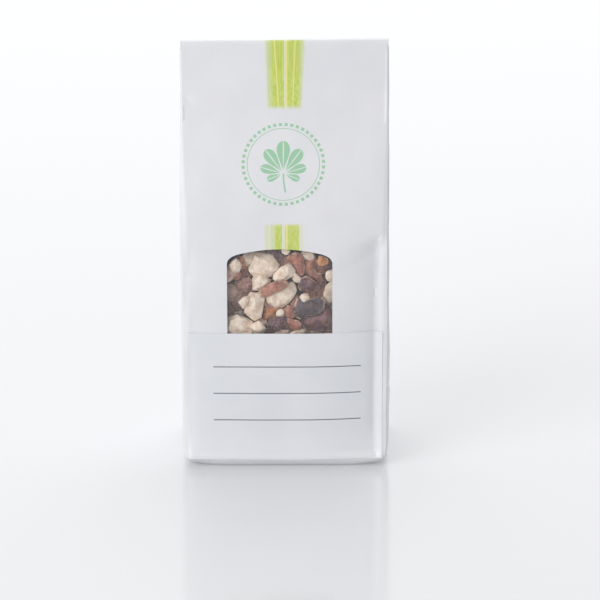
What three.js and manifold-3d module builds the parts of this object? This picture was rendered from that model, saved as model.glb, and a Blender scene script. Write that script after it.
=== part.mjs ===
// A paper packet of chopped conker: a white gusseted bag with a clear window, a label across its
// lower front, and the dried, chopped horse chestnut seed that fills it.
// Millimetres, +Z up, the front faces -Y, and the origin is on the table under the bag's middle.

import * as THREE from 'three';
import { ConvexGeometry } from 'three/addons/geometries/ConvexGeometry.js';
import { mergeVertices } from 'three/addons/utils/BufferGeometryUtils.js';
import Module from 'manifold-3d';

const wasm = await Module();
wasm.setup();

// Bag: the width of a gusset laid flat, how high the bag stands, and its paper
const GUSSET_WIDTH = 60;
const BAG_HEIGHT = 208;
const PAPER = 0.4;
const GAP = 0.3;

// Shape of the filled bag, as [height, value] along it
const HALF_DEPTH = [
  [0, 27], [1.5, 29], [4, 30.3], [40, 33], [90, 32.6], [112, 31], [122, 28.4],
  [150, 17.8], [175, 7.6], [187, 2.9], [194, 1.7], [BAG_HEIGHT, 1.3],
];
const HALF_WIDTH = [
  [0, 47.6], [1.5, 49], [4, 49.7], [30, 50.4], [110, 50.6], [150, 50.5], [BAG_HEIGHT, 50.5],
];
const CORNER_RADIUS = [
  [0, 5], [4, 5.5], [20, 6.8], [100, 7], [122, 5], [145, 2.6], [170, 1.4], [BAG_HEIGHT, 1],
];
const PANEL_CROWN = [
  [0, 0.2], [4, 0.5], [50, 1.2], [105, 1.2], [135, 0.5], [170, 0.1], [BAG_HEIGHT, 0],
];
const GUSSET_DIMPLE = [
  [0, -0.2], [40, -0.9], [80, 0], [105, 2.4], [122, 5], [140, 1.5], [160, 0], [BAG_HEIGHT, 0],
];
const LEAN = [[0, 0], [118, 0], [165, -0.9], [BAG_HEIGHT, -1.4]];
const SECTION_HEIGHTS = [
  0, 1.5, 4, 10, 20, 32, 46, 60, 74, 88, 100, 108, 114, 118, 122, 127, 133, 140, 150, 160,
  170, 179, 187, 194, 200,
];
const FRONT_STEPS = 10;
const CORNER_STEPS = 3;
const SIDE_STEPS = 3;

// The top is folded over to the back, and the folded strip lies down the back panel
const FOLD_STRIP = 25;
const FOLD_PLIES = 1.9;
const FOLD_ARC_STEPS = 8;
const CAVITY_TOP = 187;

// Window, with the film glued behind it, and the label that covers its lower end
const WINDOW = { x: -2.5, width: 51, bottom: 50, top: 111, arch: 2.3, corner: 6, cornerDrop: 4.9 };
const FILM = 0.3;
const FILM_MARGIN = 5;
const LABEL = { width: 94.6, bottom: 4.5, top: 69.4, thick: 0.3 };

// Chopped seed: how full the bag is, and the room just behind the window film
const FILL_TOP = 116;
const ROOM_MARGIN = 0.6;
const ROOM_WALL_RELIEF = 3;
const CELL = 0.3;
const SKIN_THICKNESS = 0.8;
const CHUNK_DEPTH = 6;
const CLEAR_OF_NEIGHBOUR = 0.2;
const PIECE_TILT = 0.22;
const WALL_CHUNK = { size: 13, every: 10 };
const TOP_CHUNK = { size: 17, every: 18 };
// The outlines were drawn looking down this much, so a piece further in lies lower than its outline
const SIGHT_SLOPE = 0.3;

// The pieces that lie against the window, those in front first. Each has its outline in [x, z], as
// seen through the window, and a skin's bow is how far its middle stands proud of its rim, below 0
// where it turns away.
const WINDOW_PIECES = [
  {
    kind: 'russet', bow: 0.6,
    outline: [
      [-12.8, 90.2], [-10.2, 92.6], [-5.5, 95], [-1, 96.1], [1, 95.2], [1.3, 93.2], [-0.5, 91.6],
      [-5, 89.9], [-8.7, 87.8], [-10.8, 87.2],
    ],
  },
  {
    kind: 'kernel',
    outline: [
      [-9.5, 87.4], [-9.2, 85.2], [-7.8, 84], [-3.2, 83.6], [-1, 82.4], [0.3, 83.4], [2.6, 85.6],
      [4.6, 88.6], [5.6, 92], [5.3, 94.8], [2.5, 95.2], [-4, 91.4],
    ],
  },
  {
    kind: 'kernel',
    outline: [
      [-5.4, 95.8], [-5.2, 99.4], [-3.2, 101.6], [0.4, 103.3], [2.6, 103.7], [4, 102.4], [4.6, 100],
      [3.4, 97.6], [0.6, 96.2], [-3, 95.5],
    ],
  },
  {
    kind: 'kernel',
    outline: [
      [-17.6, 100.4], [-17, 102.2], [-14.9, 104.4], [-14.4, 107], [-13.8, 110.2], [-9.6, 110.3],
      [-6.5, 108.8], [-4.2, 106.6], [-3.2, 104.2], [-3.3, 102.5], [-5.2, 98.6], [-9, 98], [-16, 98.6],
    ],
  },
  {
    kind: 'kernel',
    outline: [
      [4.8, 99.2], [6, 98.4], [7, 97.6], [7.4, 96], [6.5, 95.2], [5, 95.4], [4.3, 96.6], [3.6, 97.8],
    ],
  },
  {
    kind: 'kernel',
    outline: [
      [-22.4, 84.7], [-20.6, 86.8], [-18.6, 87.6], [-17.6, 87.2], [-18.2, 85], [-19.4, 82.6],
      [-20.4, 81.8], [-21.4, 83],
    ],
  },
  {
    kind: 'kernel',
    outline: [
      [-16.2, 72.4], [-15, 74.2], [-13, 74.8], [-11, 73.8], [-9.8, 71.8], [-10, 70.2], [-12.4, 68.7],
      [-15, 69.2], [-16, 70.6],
    ],
  },
  {
    kind: 'kernel',
    outline: [
      [-28.6, 75.8], [-25.4, 77.6], [-22.4, 77.6], [-19, 76.8], [-17.2, 75.6], [-15.8, 74],
      [-15.6, 69], [-16, 65.5], [-24, 64.8], [-29.4, 65.5], [-29.6, 70],
    ],
  },
  {
    kind: 'russet', bow: 1.4,
    outline: [
      [1.6, 76.6], [3.2, 76], [6.4, 75.3], [7.7, 74], [7.6, 72], [6.8, 70.4], [4.6, 70.6], [2.8, 72.2],
      [1.6, 74.4],
    ],
  },
  {
    kind: 'russet', bow: 1.1,
    outline: [
      [0, 81.4], [1.6, 83], [2.8, 82.6], [3.8, 80.4], [4.6, 78.6], [4, 77], [2.8, 76.4], [1, 77.4],
      [-0.8, 79.2],
    ],
  },
  {
    kind: 'russet', bow: 1.2,
    outline: [
      [1.4, 107], [2.6, 109.2], [5.6, 110], [8, 109], [9, 107], [9.4, 103], [9, 99.6], [7.9, 98.7],
      [5.6, 99], [4.8, 101], [2.6, 104.2],
    ],
  },
  {
    kind: 'russet', bow: 1.6,
    outline: [
      [16, 105.6], [16.6, 107.8], [18.6, 108.2], [20.4, 107], [21, 105], [19.6, 103.6], [18, 103.2],
      [16.6, 103.8],
    ],
  },
  {
    kind: 'kernel',
    outline: [
      [-15.4, 97.2], [-14.2, 98.3], [-11.6, 98.2], [-9, 97.4], [-5.8, 95.4], [-7.4, 93.8],
      [-9.6, 92.4], [-12, 91], [-14.4, 90.8], [-16, 92], [-15.8, 94.6],
    ],
  },
  {
    kind: 'kernel',
    outline: [
      [-16.4, 90.6], [-17.8, 88], [-18.6, 84.6], [-20, 82.4], [-20, 80.2], [-18.8, 78], [-17.2, 76.4],
      [-14.8, 74.9], [-12.6, 75.6], [-11.4, 78], [-9.8, 84], [-9.6, 86.4], [-12.6, 90.6],
    ],
  },
  {
    kind: 'skin', bow: 2.6,
    outline: [
      [6.4, 92.8], [7.2, 95.6], [8.6, 97.2], [10.6, 97.8], [12.6, 97], [14.8, 95], [16.6, 93],
      [16.9, 91.9], [15, 91.2], [12.6, 91], [10, 91.4], [7.8, 91],
    ],
  },
  {
    kind: 'skin', bow: 2,
    outline: [
      [12.4, 98.2], [14.6, 99.2], [17.2, 99.4], [19, 98], [19.8, 95.6], [19.4, 93], [18.4, 91],
      [16.6, 90.8], [15, 93.4], [13.2, 96],
    ],
  },
  {
    kind: 'kernel',
    outline: [
      [7.2, 87.8], [9.4, 88.8], [10.8, 88.4], [11.6, 86.6], [10, 85.6], [8, 86.2],
    ],
  },
  {
    kind: 'skin', bow: 1.8,
    outline: [
      [4.8, 83], [6, 87], [8, 86.2], [10, 85.8], [13, 86.4], [17, 87.2], [19.6, 85.8], [19.4, 83],
      [18.2, 80.4], [16.6, 78.8], [13.6, 78], [9.8, 78], [7.6, 76.2], [5.2, 77.6], [4.6, 80],
    ],
  },
  {
    kind: 'skin', bow: 2.2,
    outline: [
      [8.2, 75.6], [10, 77.6], [13.6, 79], [16.6, 80.6], [18.6, 83], [20.4, 85], [22.4, 83.6],
      [24.5, 80.6], [25, 74], [24, 70.4], [19.6, 70.2], [16, 70.4], [12, 70.6], [9.6, 71.4], [8.4, 73],
    ],
  },
  {
    kind: 'kernel',
    outline: [
      [18.2, 88.4], [19.4, 91.4], [22, 95], [24.6, 95.6], [25.6, 91], [25.2, 84], [22.6, 82.6],
      [20.8, 84.6], [18.8, 86.6],
    ],
  },
  {
    kind: 'skin', bow: -1.2,
    outline: [
      [10.4, 90.8], [13, 92], [18.8, 91.2], [19.4, 88.6], [17, 85.4], [13, 85], [10.6, 87.4],
    ],
  },
  {
    kind: 'kernel',
    outline: [
      [19.8, 99], [21.2, 100.4], [23.4, 101], [25, 100], [25, 96.6], [22.4, 95.4], [21, 96.2],
      [20.2, 97.6],
    ],
  },
  {
    kind: 'kernel',
    outline: [
      [-3.8, 79.6], [-2.4, 80.9], [-1.2, 80.6], [-1, 79], [-2.2, 78], [-3.4, 78.2],
    ],
  },
  {
    kind: 'russet', bow: 1.8,
    outline: [
      [-11.9, 78.2], [-10.8, 80.6], [-9, 82.6], [-6, 82.6], [-3.4, 81.6], [-2.6, 79.8], [-4, 78],
      [-6.6, 77.2], [-9, 75.8], [-11, 75.4], [-12, 76.6],
    ],
  },
  {
    kind: 'skin', bow: 1.6,
    outline: [
      [-8.8, 73.6], [-7.2, 76.4], [-4, 77.8], [0.4, 77.8], [2.4, 75.6], [2.9, 72.4], [3.4, 70.2],
      [1.4, 69.4], [-2, 70], [-6, 70.4], [-8.6, 72],
    ],
  },
  {
    kind: 'kernel',
    outline: [
      [-11.6, 76], [-10, 76.6], [-9, 75], [-10.4, 73.4], [-11.8, 74.4],
    ],
  },
  {
    kind: 'kernel',
    outline: [
      [-26.8, 102.8], [-25.2, 105.6], [-23.6, 107], [-22.4, 106], [-21.8, 104], [-21.3, 102],
      [-22.8, 100], [-24.2, 99.9], [-25.8, 101.2],
    ],
  },
  {
    kind: 'kernel',
    outline: [
      [-21.2, 107.4], [-20, 109], [-17.4, 110.4], [-14, 110.6], [-14.2, 105], [-16.4, 103.4],
      [-18.6, 103], [-19.6, 104.4],
    ],
  },
  {
    kind: 'russet', bow: 0.5,
    outline: [
      [-22.8, 107.8], [-21, 108], [-19.8, 105], [-19, 102.4], [-20.8, 101.6], [-22.2, 103.4],
    ],
  },
  {
    kind: 'kernel',
    outline: [
      [-28.8, 103], [-26.6, 102.4], [-25.4, 100.8], [-23.4, 99.6], [-23.8, 97.8], [-25.2, 96.6],
      [-27, 95.6], [-29, 95.2], [-29.6, 99],
    ],
  },
  {
    kind: 'russet', bow: 0.6,
    outline: [
      [-24.2, 99.6], [-22.2, 100.6], [-21.2, 98.6], [-22.6, 96.6], [-25, 96.2], [-25.6, 97.6],
    ],
  },
  {
    kind: 'skin', bow: 1.2,
    outline: [
      [-22.2, 101.4], [-20.4, 102.8], [-17.6, 102.8], [-17, 101], [-16.6, 99.2], [-18.4, 97.4],
      [-21.4, 97.4], [-22.6, 99.2],
    ],
  },
  {
    kind: 'skin', bow: 2.4,
    outline: [
      [-24.2, 95], [-22.6, 97.2], [-19.8, 98], [-17.2, 97.2], [-15.6, 95], [-15.2, 92.4],
      [-16.4, 89.6], [-18.8, 87.6], [-21, 87.6], [-23, 89.6], [-24.2, 92.4],
    ],
  },
  {
    kind: 'kernel',
    outline: [
      [-29, 94.8], [-26.4, 95.4], [-24.4, 94.8], [-23.2, 92.6], [-22.4, 90], [-22, 87.8],
      [-24.2, 85.8], [-27.4, 85], [-29.4, 86.6],
    ],
  },
  {
    kind: 'skin', bow: 1.2,
    outline: [
      [-24.4, 87.4], [-22, 88.6], [-20.2, 87.2], [-20, 84.6], [-19, 82], [-20.6, 80.4], [-23.6, 80],
      [-24.8, 82.6], [-25.4, 85.4],
    ],
  },
  {
    kind: 'kernel',
    outline: [
      [-25, 79.2], [-23.2, 80.2], [-21.4, 80.8], [-20.6, 79.4], [-21, 77.4], [-23, 77.2],
    ],
  },
  {
    kind: 'skin', bow: 1,
    outline: [
      [-29, 85.4], [-26, 86], [-24.2, 83.4], [-24, 78.8], [-26.4, 76.6], [-29, 76.4],
    ],
  },
  {
    kind: 'kernel',
    outline: [
      [-4.8, 70.4], [-2.4, 70.9], [1.4, 70], [2.6, 69], [2.6, 66], [-3.6, 65.6], [-5.2, 67.6],
    ],
  },
  {
    kind: 'kernel',
    outline: [
      [3.2, 69], [6, 70.3], [9.2, 70.6], [9.4, 67], [8, 65.4], [4, 65.6], [2.8, 67.4],
    ],
  },
  {
    kind: 'skin', bow: 1,
    outline: [
      [-12, 69.2], [-9.6, 71], [-7, 71.4], [-4.4, 70.8], [-4, 67], [-6, 65.4], [-11, 65.6],
      [-13, 67.6],
    ],
  },
  {
    kind: 'kernel',
    outline: [
      [9.6, 70.4], [12, 70.4], [14.4, 70.8], [18, 70], [19.4, 68], [18, 65.4], [11, 65.2], [9.4, 67],
    ],
  },
  {
    kind: 'russet', bow: 1,
    outline: [
      [19.8, 71.2], [22, 71.8], [24.6, 70.6], [24.8, 66.4], [21, 65.4], [19.2, 67.4],
    ],
  },
  {
    kind: 'russet', bow: -0.6,
    outline: [
      [3, 84], [4.8, 87], [6, 88], [6.8, 85.8], [5.8, 83], [4.4, 81.2], [3, 82],
    ],
  },
  {
    kind: 'kernel',
    outline: [
      [-1.6, 111.6], [1, 112], [2.4, 110.4], [1, 109], [-0.6, 109.4],
    ],
  },
  {
    kind: 'kernel',
    outline: [
      [8, 110], [10, 111.4], [14, 110.6], [15.4, 108.4], [12.6, 106.6], [10.2, 106.4], [8.2, 107.8],
    ],
  },
  {
    kind: 'russet', bow: 1.2,
    outline: [
      [8.8, 106.4], [11, 107.4], [14.6, 107.6], [15.6, 105], [14.8, 102], [13.4, 99.6], [10, 99.4],
      [8.6, 102.6],
    ],
  },
  {
    kind: 'skin', bow: 1.4,
    outline: [
      [14.6, 104.6], [16.6, 106], [20, 106.6], [22.6, 106], [24, 103], [22.2, 100.8], [19.6, 99.6],
      [16.4, 99], [14.8, 101.4],
    ],
  },
  {
    kind: 'skin', bow: -1.4,
    outline: [
      [-4.6, 107.4], [-1, 108.4], [2, 107], [2, 103], [-1.6, 101.6], [-4.2, 103.6],
    ],
  },
  {
    kind: 'skin', bow: 1,
    outline: [
      [-8.6, 110.4], [-4.6, 112.4], [0, 112.6], [3, 110.4], [1.6, 107], [-2, 106], [-6, 107.4],
    ],
  },
  {
    kind: 'skin', bow: -1,
    outline: [
      [7, 99.4], [10, 101], [14.6, 101], [15.4, 98], [12, 95.6], [8, 95.8], [6.4, 97.4],
    ],
  },
  {
    kind: 'skin', bow: 1,
    outline: [
      [-9, 86.6], [-4, 86], [1, 86.4], [3.6, 84], [2, 80.6], [-3, 79.6], [-8, 80.6], [-10, 83.6],
    ],
  },
];

const MATERIALS = {
  paper: new THREE.MeshStandardMaterial({ name: 'white_paper', color: 0xe9eaee, roughness: 0.62 }),
  film: new THREE.MeshStandardMaterial({
    name: 'clear_film', color: 0xf4f6f8, roughness: 0.12, transparent: true, opacity: 0.2,
  }),
  label: new THREE.MeshStandardMaterial({ name: 'label_paper', color: 0xe2e6f0, roughness: 0.42 }),
  kernel: new THREE.MeshStandardMaterial({ name: 'kernel', color: 0xd9c6a8, roughness: 0.8 }),
  skin: new THREE.MeshStandardMaterial({ name: 'dark_skin', color: 0x5a4040, roughness: 0.5 }),
  russet: new THREE.MeshStandardMaterial({ name: 'russet_skin', color: 0x9a5b42, roughness: 0.55 }),
};

// Curves and outlines

// A smooth curve through [height, value] knots.
function curveThrough(knots) {
  const curve = new THREE.CubicInterpolant(knots.map((k) => k[0]), knots.map((k) => k[1]), 1);
  return (z) => curve.evaluate(z)[0];
}

const halfDepth = curveThrough(HALF_DEPTH);
const halfWidth = curveThrough(HALF_WIDTH);
const cornerRadius = curveThrough(CORNER_RADIUS);
const panelCrown = curveThrough(PANEL_CROWN);
const gussetDimple = curveThrough(GUSSET_DIMPLE);
const lean = curveThrough(LEAN);

// How far the gusset's middle crease is folded in: its two halves keep their width of paper.
function gussetFold(z) {
  const half = GUSSET_WIDTH / 2;
  const open = Math.min(halfDepth(z), half);
  return z > HALF_DEPTH[4][0] ? Math.sqrt(half ** 2 - open ** 2) + gussetDimple(z) : gussetDimple(z);
}

// The right side of the bag's outline, from the front panel's edge round to the back panel's.
function sideOutline(z) {
  const depth = halfDepth(z);
  const radius = cornerRadius(z);
  const width = halfWidth(z);
  const flat = depth - radius;
  const points = [];
  for (let i = 0; i < CORNER_STEPS; i++) {
    const angle = (-Math.PI / 2) * (1 - i / CORNER_STEPS);
    points.push([width - radius + radius * Math.cos(angle), -flat + radius * Math.sin(angle)]);
  }
  for (let i = -SIDE_STEPS; i <= SIDE_STEPS; i++) {
    const share = i / SIDE_STEPS;
    points.push([width - gussetFold(z) * (1 - Math.abs(share)), flat * share]);
  }
  const backCorner = points.slice(0, CORNER_STEPS).map(([x, y]) => [x, -y]).reverse();
  return [...points, ...backCorner];
}

// The inside points of a panel's gently crowned line, from x = -flat to flat.
function panelOutline(z) {
  const flat = halfWidth(z) - cornerRadius(z);
  const points = [];
  for (let i = 1; i < FRONT_STEPS; i++) {
    const share = (2 * i) / FRONT_STEPS - 1;
    points.push([flat * share, -halfDepth(z) - panelCrown(z) * (1 - share ** 4)]);
  }
  return points;
}

// The bag's whole outline at a height, anticlockwise seen from above.
function bagOutline(z) {
  const side = sideOutline(z);
  const panel = panelOutline(z);
  const turned = (points) => points.map(([x, y]) => [-x, -y]);
  return [...panel, ...side, ...turned(panel), ...turned(side)]
    .map(([x, y]) => new THREE.Vector2(x, y + lean(z)));
}

// An outline moved outwards by a distance, square to its edges.
function offsetOutline(points, distance) {
  const normal = (a, b) => new THREE.Vector2(b.y - a.y, a.x - b.x).normalize();
  return points.map((point, i) => {
    const before = normal(points.at(i - 1), point);
    const after = normal(point, points[(i + 1) % points.length]);
    const mitre = before.add(after);
    return point.clone().addScaledVector(mitre, (2 * distance) / mitre.lengthSq());
  });
}

// Where the front panel's middle stands at a height.
const frontFace = (z) => lean(z) - halfDepth(z) - panelCrown(z);
const backFace = (z) => lean(z) + halfDepth(z);

// Solids

function solidFrom(geometry) {
  const bare = geometry.clone();
  bare.deleteAttribute('normal');
  bare.deleteAttribute('uv');
  const merged = mergeVertices(bare, 1e-4);
  return new wasm.Manifold(new wasm.Mesh({
    numProp: 3,
    vertProperties: Float32Array.from(merged.attributes.position.array),
    triVerts: Uint32Array.from(merged.index.array),
  }));
}

function geometryFrom(solid) {
  const { vertProperties, triVerts } = solid.getMesh();
  const geometry = new THREE.BufferGeometry();
  geometry.setAttribute('position', new THREE.BufferAttribute(vertProperties, 3));
  geometry.setIndex(new THREE.BufferAttribute(triVerts, 1));
  return geometry;
}

// A closed body through outlines of equal length, one for each height. Its ends fan from their middle.
function loft(outlines, heights) {
  const count = outlines[0].length;
  const positions = outlines.flatMap((points, k) => points.flatMap((p) => [p.x, p.y, heights[k]]));
  const index = [];
  for (let k = 0; k + 1 < outlines.length; k++) {
    for (let i = 0; i < count; i++) {
      const [a, b] = [k * count + i, k * count + ((i + 1) % count)];
      index.push(a, b, b + count, a, b + count, a + count);
    }
  }
  const middle = positions.length / 3;
  positions.push(0, lean(heights[0]), heights[0], 0, lean(heights.at(-1)), heights.at(-1));
  const last = (outlines.length - 1) * count;
  for (let i = 0; i < count; i++) {
    const next = (i + 1) % count;
    index.push(middle, next, i, middle + 1, last + i, last + next);
  }
  const geometry = new THREE.BufferGeometry();
  geometry.setAttribute('position', new THREE.Float32BufferAttribute(positions, 3));
  geometry.setIndex(index);
  return solidFrom(geometry);
}

// The bag's outer form between two heights, grown or shrunk by a distance.
function bagBody(bottom, top, grow) {
  const between = SECTION_HEIGHTS.filter((z) => z > bottom && z < top);
  const heights = [bottom, ...between, top];
  return loft(heights.map((z) => offsetOutline(bagOutline(z), grow)), heights);
}

// A straight block, and a flat shape in X and Z, both cut out along Y from y0 to y1.
function block([x0, x1], [y0, y1], [z0, z1]) {
  const box = new THREE.BoxGeometry(x1 - x0, y1 - y0, z1 - z0);
  return solidFrom(box.translate((x0 + x1) / 2, (y0 + y1) / 2, (z0 + z1) / 2));
}

function prism(shape, [y0, y1]) {
  const shaping = { depth: y1 - y0, bevelEnabled: false, curveSegments: 5 };
  const plate = new THREE.ExtrudeGeometry(shape, shaping).rotateX(Math.PI / 2);
  return solidFrom(plate.translate(0, y1, 0));
}

// Bag, film and label

function windowShape() {
  const { x, width, bottom, top, arch, corner, cornerDrop } = WINDOW;
  const [left, right] = [x - width / 2, x + width / 2];
  const archEnd = top - arch;
  const cornerPull = archEnd - (2 * arch * corner) / (width / 2 - corner);
  const shape = new THREE.Shape();
  shape.moveTo(left + corner, bottom);
  shape.lineTo(right - corner, bottom);
  shape.quadraticCurveTo(right, bottom, right, bottom + corner);
  shape.lineTo(right, archEnd - cornerDrop);
  shape.quadraticCurveTo(right, cornerPull, right - corner, archEnd);
  shape.quadraticCurveTo(x, top + arch, left + corner, archEnd);
  shape.quadraticCurveTo(left, cornerPull, left, archEnd - cornerDrop);
  shape.lineTo(left, bottom + corner);
  shape.quadraticCurveTo(left, bottom, left + corner, bottom);
  return shape;
}

// The folded top in the Y-Z plane, pushed out along X: over the edge and down the back panel.
function foldedTop() {
  const bodyTop = SECTION_HEIGHTS.at(-1);
  const front = frontFace(bodyTop);
  const radius = (backFace(BAG_HEIGHT) + FOLD_PLIES - front) / 2;
  const spring = BAG_HEIGHT - radius;
  const profile = [];
  for (let i = 0; i <= FOLD_ARC_STEPS; i++) {
    const angle = Math.PI * (1 - i / FOLD_ARC_STEPS);
    profile.push([front + radius + radius * Math.cos(angle), spring + radius * Math.sin(angle)]);
  }
  const down = [bodyTop, BAG_HEIGHT - 14, BAG_HEIGHT - 20, BAG_HEIGHT - FOLD_STRIP];
  profile.push(...down.map((z) => [backFace(z) + FOLD_PLIES, z]));
  profile.push(...down.reverse().map((z) => [backFace(z) - 0.3, z]));
  profile.push([front + 0.8, bodyTop - 4], [front, bodyTop]);
  const shape = new THREE.Shape(profile.map(([y, z]) => new THREE.Vector2(y, z)));
  const width = 2 * (halfWidth(BAG_HEIGHT) - 0.1);
  const strip = new THREE.ExtrudeGeometry(shape, { depth: width, bevelEnabled: false });
  strip.applyMatrix4(new THREE.Matrix4().makeBasis(
    new THREE.Vector3(0, 1, 0), new THREE.Vector3(0, 0, 1), new THREE.Vector3(1, 0, 0),
  ));
  return solidFrom(strip.translate(-width / 2, 0, 0));
}

function paperBag() {
  const outside = bagBody(0, SECTION_HEIGHTS.at(-1), 0);
  const inside = bagBody(2 * PAPER, CAVITY_TOP, -PAPER);
  return outside.add(foldedTop()).subtract(inside).subtract(prism(windowShape(), [-60, 0]));
}

// A thin sheet that follows the front panel: a layer of the bag's form inside a block.
function frontSheet(inner, outer, [x0, x1], [z0, z1]) {
  const layer = bagBody(z0 - 1, z1 + 1, outer).subtract(bagBody(z0 - 2, z1 + 2, inner));
  return layer.intersect(block([x0, x1], [-60, -18], [z0, z1]));
}

function windowFilm() {
  const { x, width, bottom, top } = WINDOW;
  const reach = width / 2 + FILM_MARGIN;
  const heights = [bottom - FILM_MARGIN, top + FILM_MARGIN];
  const front = -PAPER - GAP;
  return frontSheet(front - FILM, front, [x - reach, x + reach], heights);
}

function frontLabel() {
  const half = LABEL.width / 2;
  return frontSheet(GAP, GAP + LABEL.thick, [-half, half], [LABEL.bottom, LABEL.top]);
}

// Chopped seed

// Repeatable random numbers from 0 to 1.
function seeded(seed) {
  let state = (seed * 2654435761) >>> 0;
  return () => {
    state = (Math.imul(state ^ (state >>> 15), 2246822519) + 374761393) >>> 0;
    return ((state ^ (state >>> 13)) >>> 0) / 4294967296;
  };
}

// An outline's middle, and its points as offsets from there, drawn in a little from its neighbours.
function aboutMiddle(outline) {
  const middle = [0, 1].map((axis) => outline.reduce((sum, p) => sum + p[axis], 0) / outline.length);
  const rim = outline.map(([x, z]) => {
    const offset = new THREE.Vector2(x - middle[0], z - middle[1]);
    return offset.setLength(offset.length() - CLEAR_OF_NEIGHBOUR).toArray();
  });
  return { middle, rim };
}

// A broken bit of kernel: a lump with an angular rim and flat broken faces to the front and back.
function kernelChunk(rim, random) {
  const box = new THREE.Box2().setFromPoints(rim.map(([x, z]) => new THREE.Vector2(x, z)));
  const half = Math.min(...box.getSize(new THREE.Vector2()), CHUNK_DEPTH) / 2;
  const points = rim.map(([x, z]) => new THREE.Vector3(x, half * 0.5 * (random() - 0.5), z));
  for (const side of [-1, 1]) {
    rim.forEach(([x, z], i) => {
      if ((i + (side > 0)) % 2) return;
      const inset = 0.45 + 0.35 * random();
      points.push(new THREE.Vector3(x * inset, side * half * (0.7 + 0.4 * random()), z * inset));
    });
  }
  return new ConvexGeometry(points);
}

// A broken bit of seed coat: a thin bowed plate inside its rim.
function skinFlake(rim, bow, random) {
  const [rings, sectors] = [2, rim.length];
  const twist = 0.8 * (random() - 0.5);
  const face = (offset) => {
    const points = [[0, offset - bow, 0]];
    for (let ring = 1; ring <= rings; ring++) {
      const share = ring / rings;
      rim.forEach(([x, z], i) => {
        const ripple = 0.5 * (random() - 0.5) + twist * share * Math.sin((4 * Math.PI * i) / sectors);
        points.push([x * share, offset - bow * (1 - share ** 2) + ripple, z * share]);
      });
    }
    return points;
  };
  const proud = face(-SKIN_THICKNESS / 2);
  const hidden = proud.map(([x, y, z]) => [x, y + SKIN_THICKNESS, z]);
  const count = proud.length;
  const at = (ring, i) => 1 + (ring - 1) * sectors + (i % sectors);
  const index = [];
  for (let i = 0; i < sectors; i++) {
    index.push(0, at(1, i), at(1, i + 1), count, count + at(1, i + 1), count + at(1, i));
    for (let ring = 1; ring < rings; ring++) {
      const [a, b, c, d] = [at(ring, i), at(ring, i + 1), at(ring + 1, i + 1), at(ring + 1, i)];
      index.push(a, c, b, a, d, c, count + a, count + b, count + c, count + a, count + c, count + d);
    }
    const [e, f] = [at(rings, i), at(rings, i + 1)];
    index.push(e, count + f, f, e, count + e, count + f);
  }
  const plate = new THREE.BufferGeometry();
  plate.setAttribute('position', new THREE.Float32BufferAttribute([...proud, ...hidden].flat(), 3));
  plate.setIndex(index);
  return facingOut(plate);
}

// The same body with its faces turned outwards, whichever way round its rim was drawn.
function facingOut(geometry) {
  const { array: index } = geometry.index;
  const corner = (i) => new THREE.Vector3().fromBufferAttribute(geometry.attributes.position, index[i]);
  let volume = 0;
  for (let t = 0; t < index.length; t += 3) volume += corner(t).dot(corner(t + 1).cross(corner(t + 2)));
  return volume > 0 ? geometry : geometry.setIndex(Array.from(index).reverse());
}

// Which cells of a grid in X and Z a shape covers, with its nearest and furthest Y in each.
function coveredCells(geometry) {
  const cells = new Map();
  const { position } = geometry.index ? geometry.toNonIndexed().attributes : geometry.attributes;
  const corner = (i) => new THREE.Vector3().fromBufferAttribute(position, i);
  for (let t = 0; t < position.count; t += 3) {
    const [a, b, c] = [corner(t), corner(t + 1), corner(t + 2)];
    const longest = Math.max(a.distanceTo(b), b.distanceTo(c), c.distanceTo(a));
    const steps = Math.ceil(longest / (CELL * 0.9));
    for (let u = 0; u <= steps; u++) {
      for (let v = 0; u + v <= steps; v++) {
        const point = a.clone().multiplyScalar(1 - (u + v) / steps);
        point.addScaledVector(b, u / steps).addScaledVector(c, v / steps);
        const [i, k] = [Math.round(point.x / CELL), Math.round(point.z / CELL)];
        const cell = cells.get(`${i},${k}`) ?? { i, k, near: point.y, far: point.y };
        cell.near = Math.min(cell.near, point.y);
        cell.far = Math.max(cell.far, point.y);
        cells.set(`${i},${k}`, cell);
      }
    }
  }
  return [...cells.values()];
}

// Each piece is pushed towards the window from behind, until it meets the film or a piece before it.
function packAgainstWindow(pieces) {
  const taken = new Map();
  const clearOfFilm = (k) => frontFace(k * CELL) + PAPER + GAP + FILM + GAP;
  const reached = (i, k) => taken.get(`${i},${k}`) ?? clearOfFilm(k);
  const take = (i, k, y) => taken.set(`${i},${k}`, Math.max(reached(i, k), y));
  return pieces.map(({ kind, bow, outline }, number) => {
    const random = seeded(number + 11);
    const { middle, rim } = aboutMiddle(outline);
    const geometry = kind === 'kernel' ? kernelChunk(rim, random) : skinFlake(rim, bow, random);
    geometry.rotateX(PIECE_TILT * (random() - 0.5)).rotateZ(PIECE_TILT * (random() - 0.5));
    geometry.translate(middle[0], 0, middle[1]);
    const cells = coveredCells(geometry);
    const needed = cells.map(({ i, k, near }) => reached(i, k) - near);
    const push = Math.max(...needed) + 0.1;
    for (const { i, k, far } of cells) {
      for (const di of [-1, 0, 1]) for (const dk of [-1, 0, 1]) take(i + di, k + dk, far + push + GAP);
    }
    geometry.translate(0, push, 0).applyMatrix4(alongSight()).computeBoundingBox();
    return { kind, geometry };
  });
}

// Lowers what lies further in, so that from the front and a little above it shows where it was drawn.
function alongSight() {
  const faceAtWindow = frontFace((LABEL.top + WINDOW.top) / 2);
  const lower = new THREE.Matrix4().makeShear(0, 0, 0, -SIGHT_SLOPE, 0, 0);
  return lower.setPosition(0, 0, SIGHT_SLOPE * faceAtWindow);
}

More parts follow.
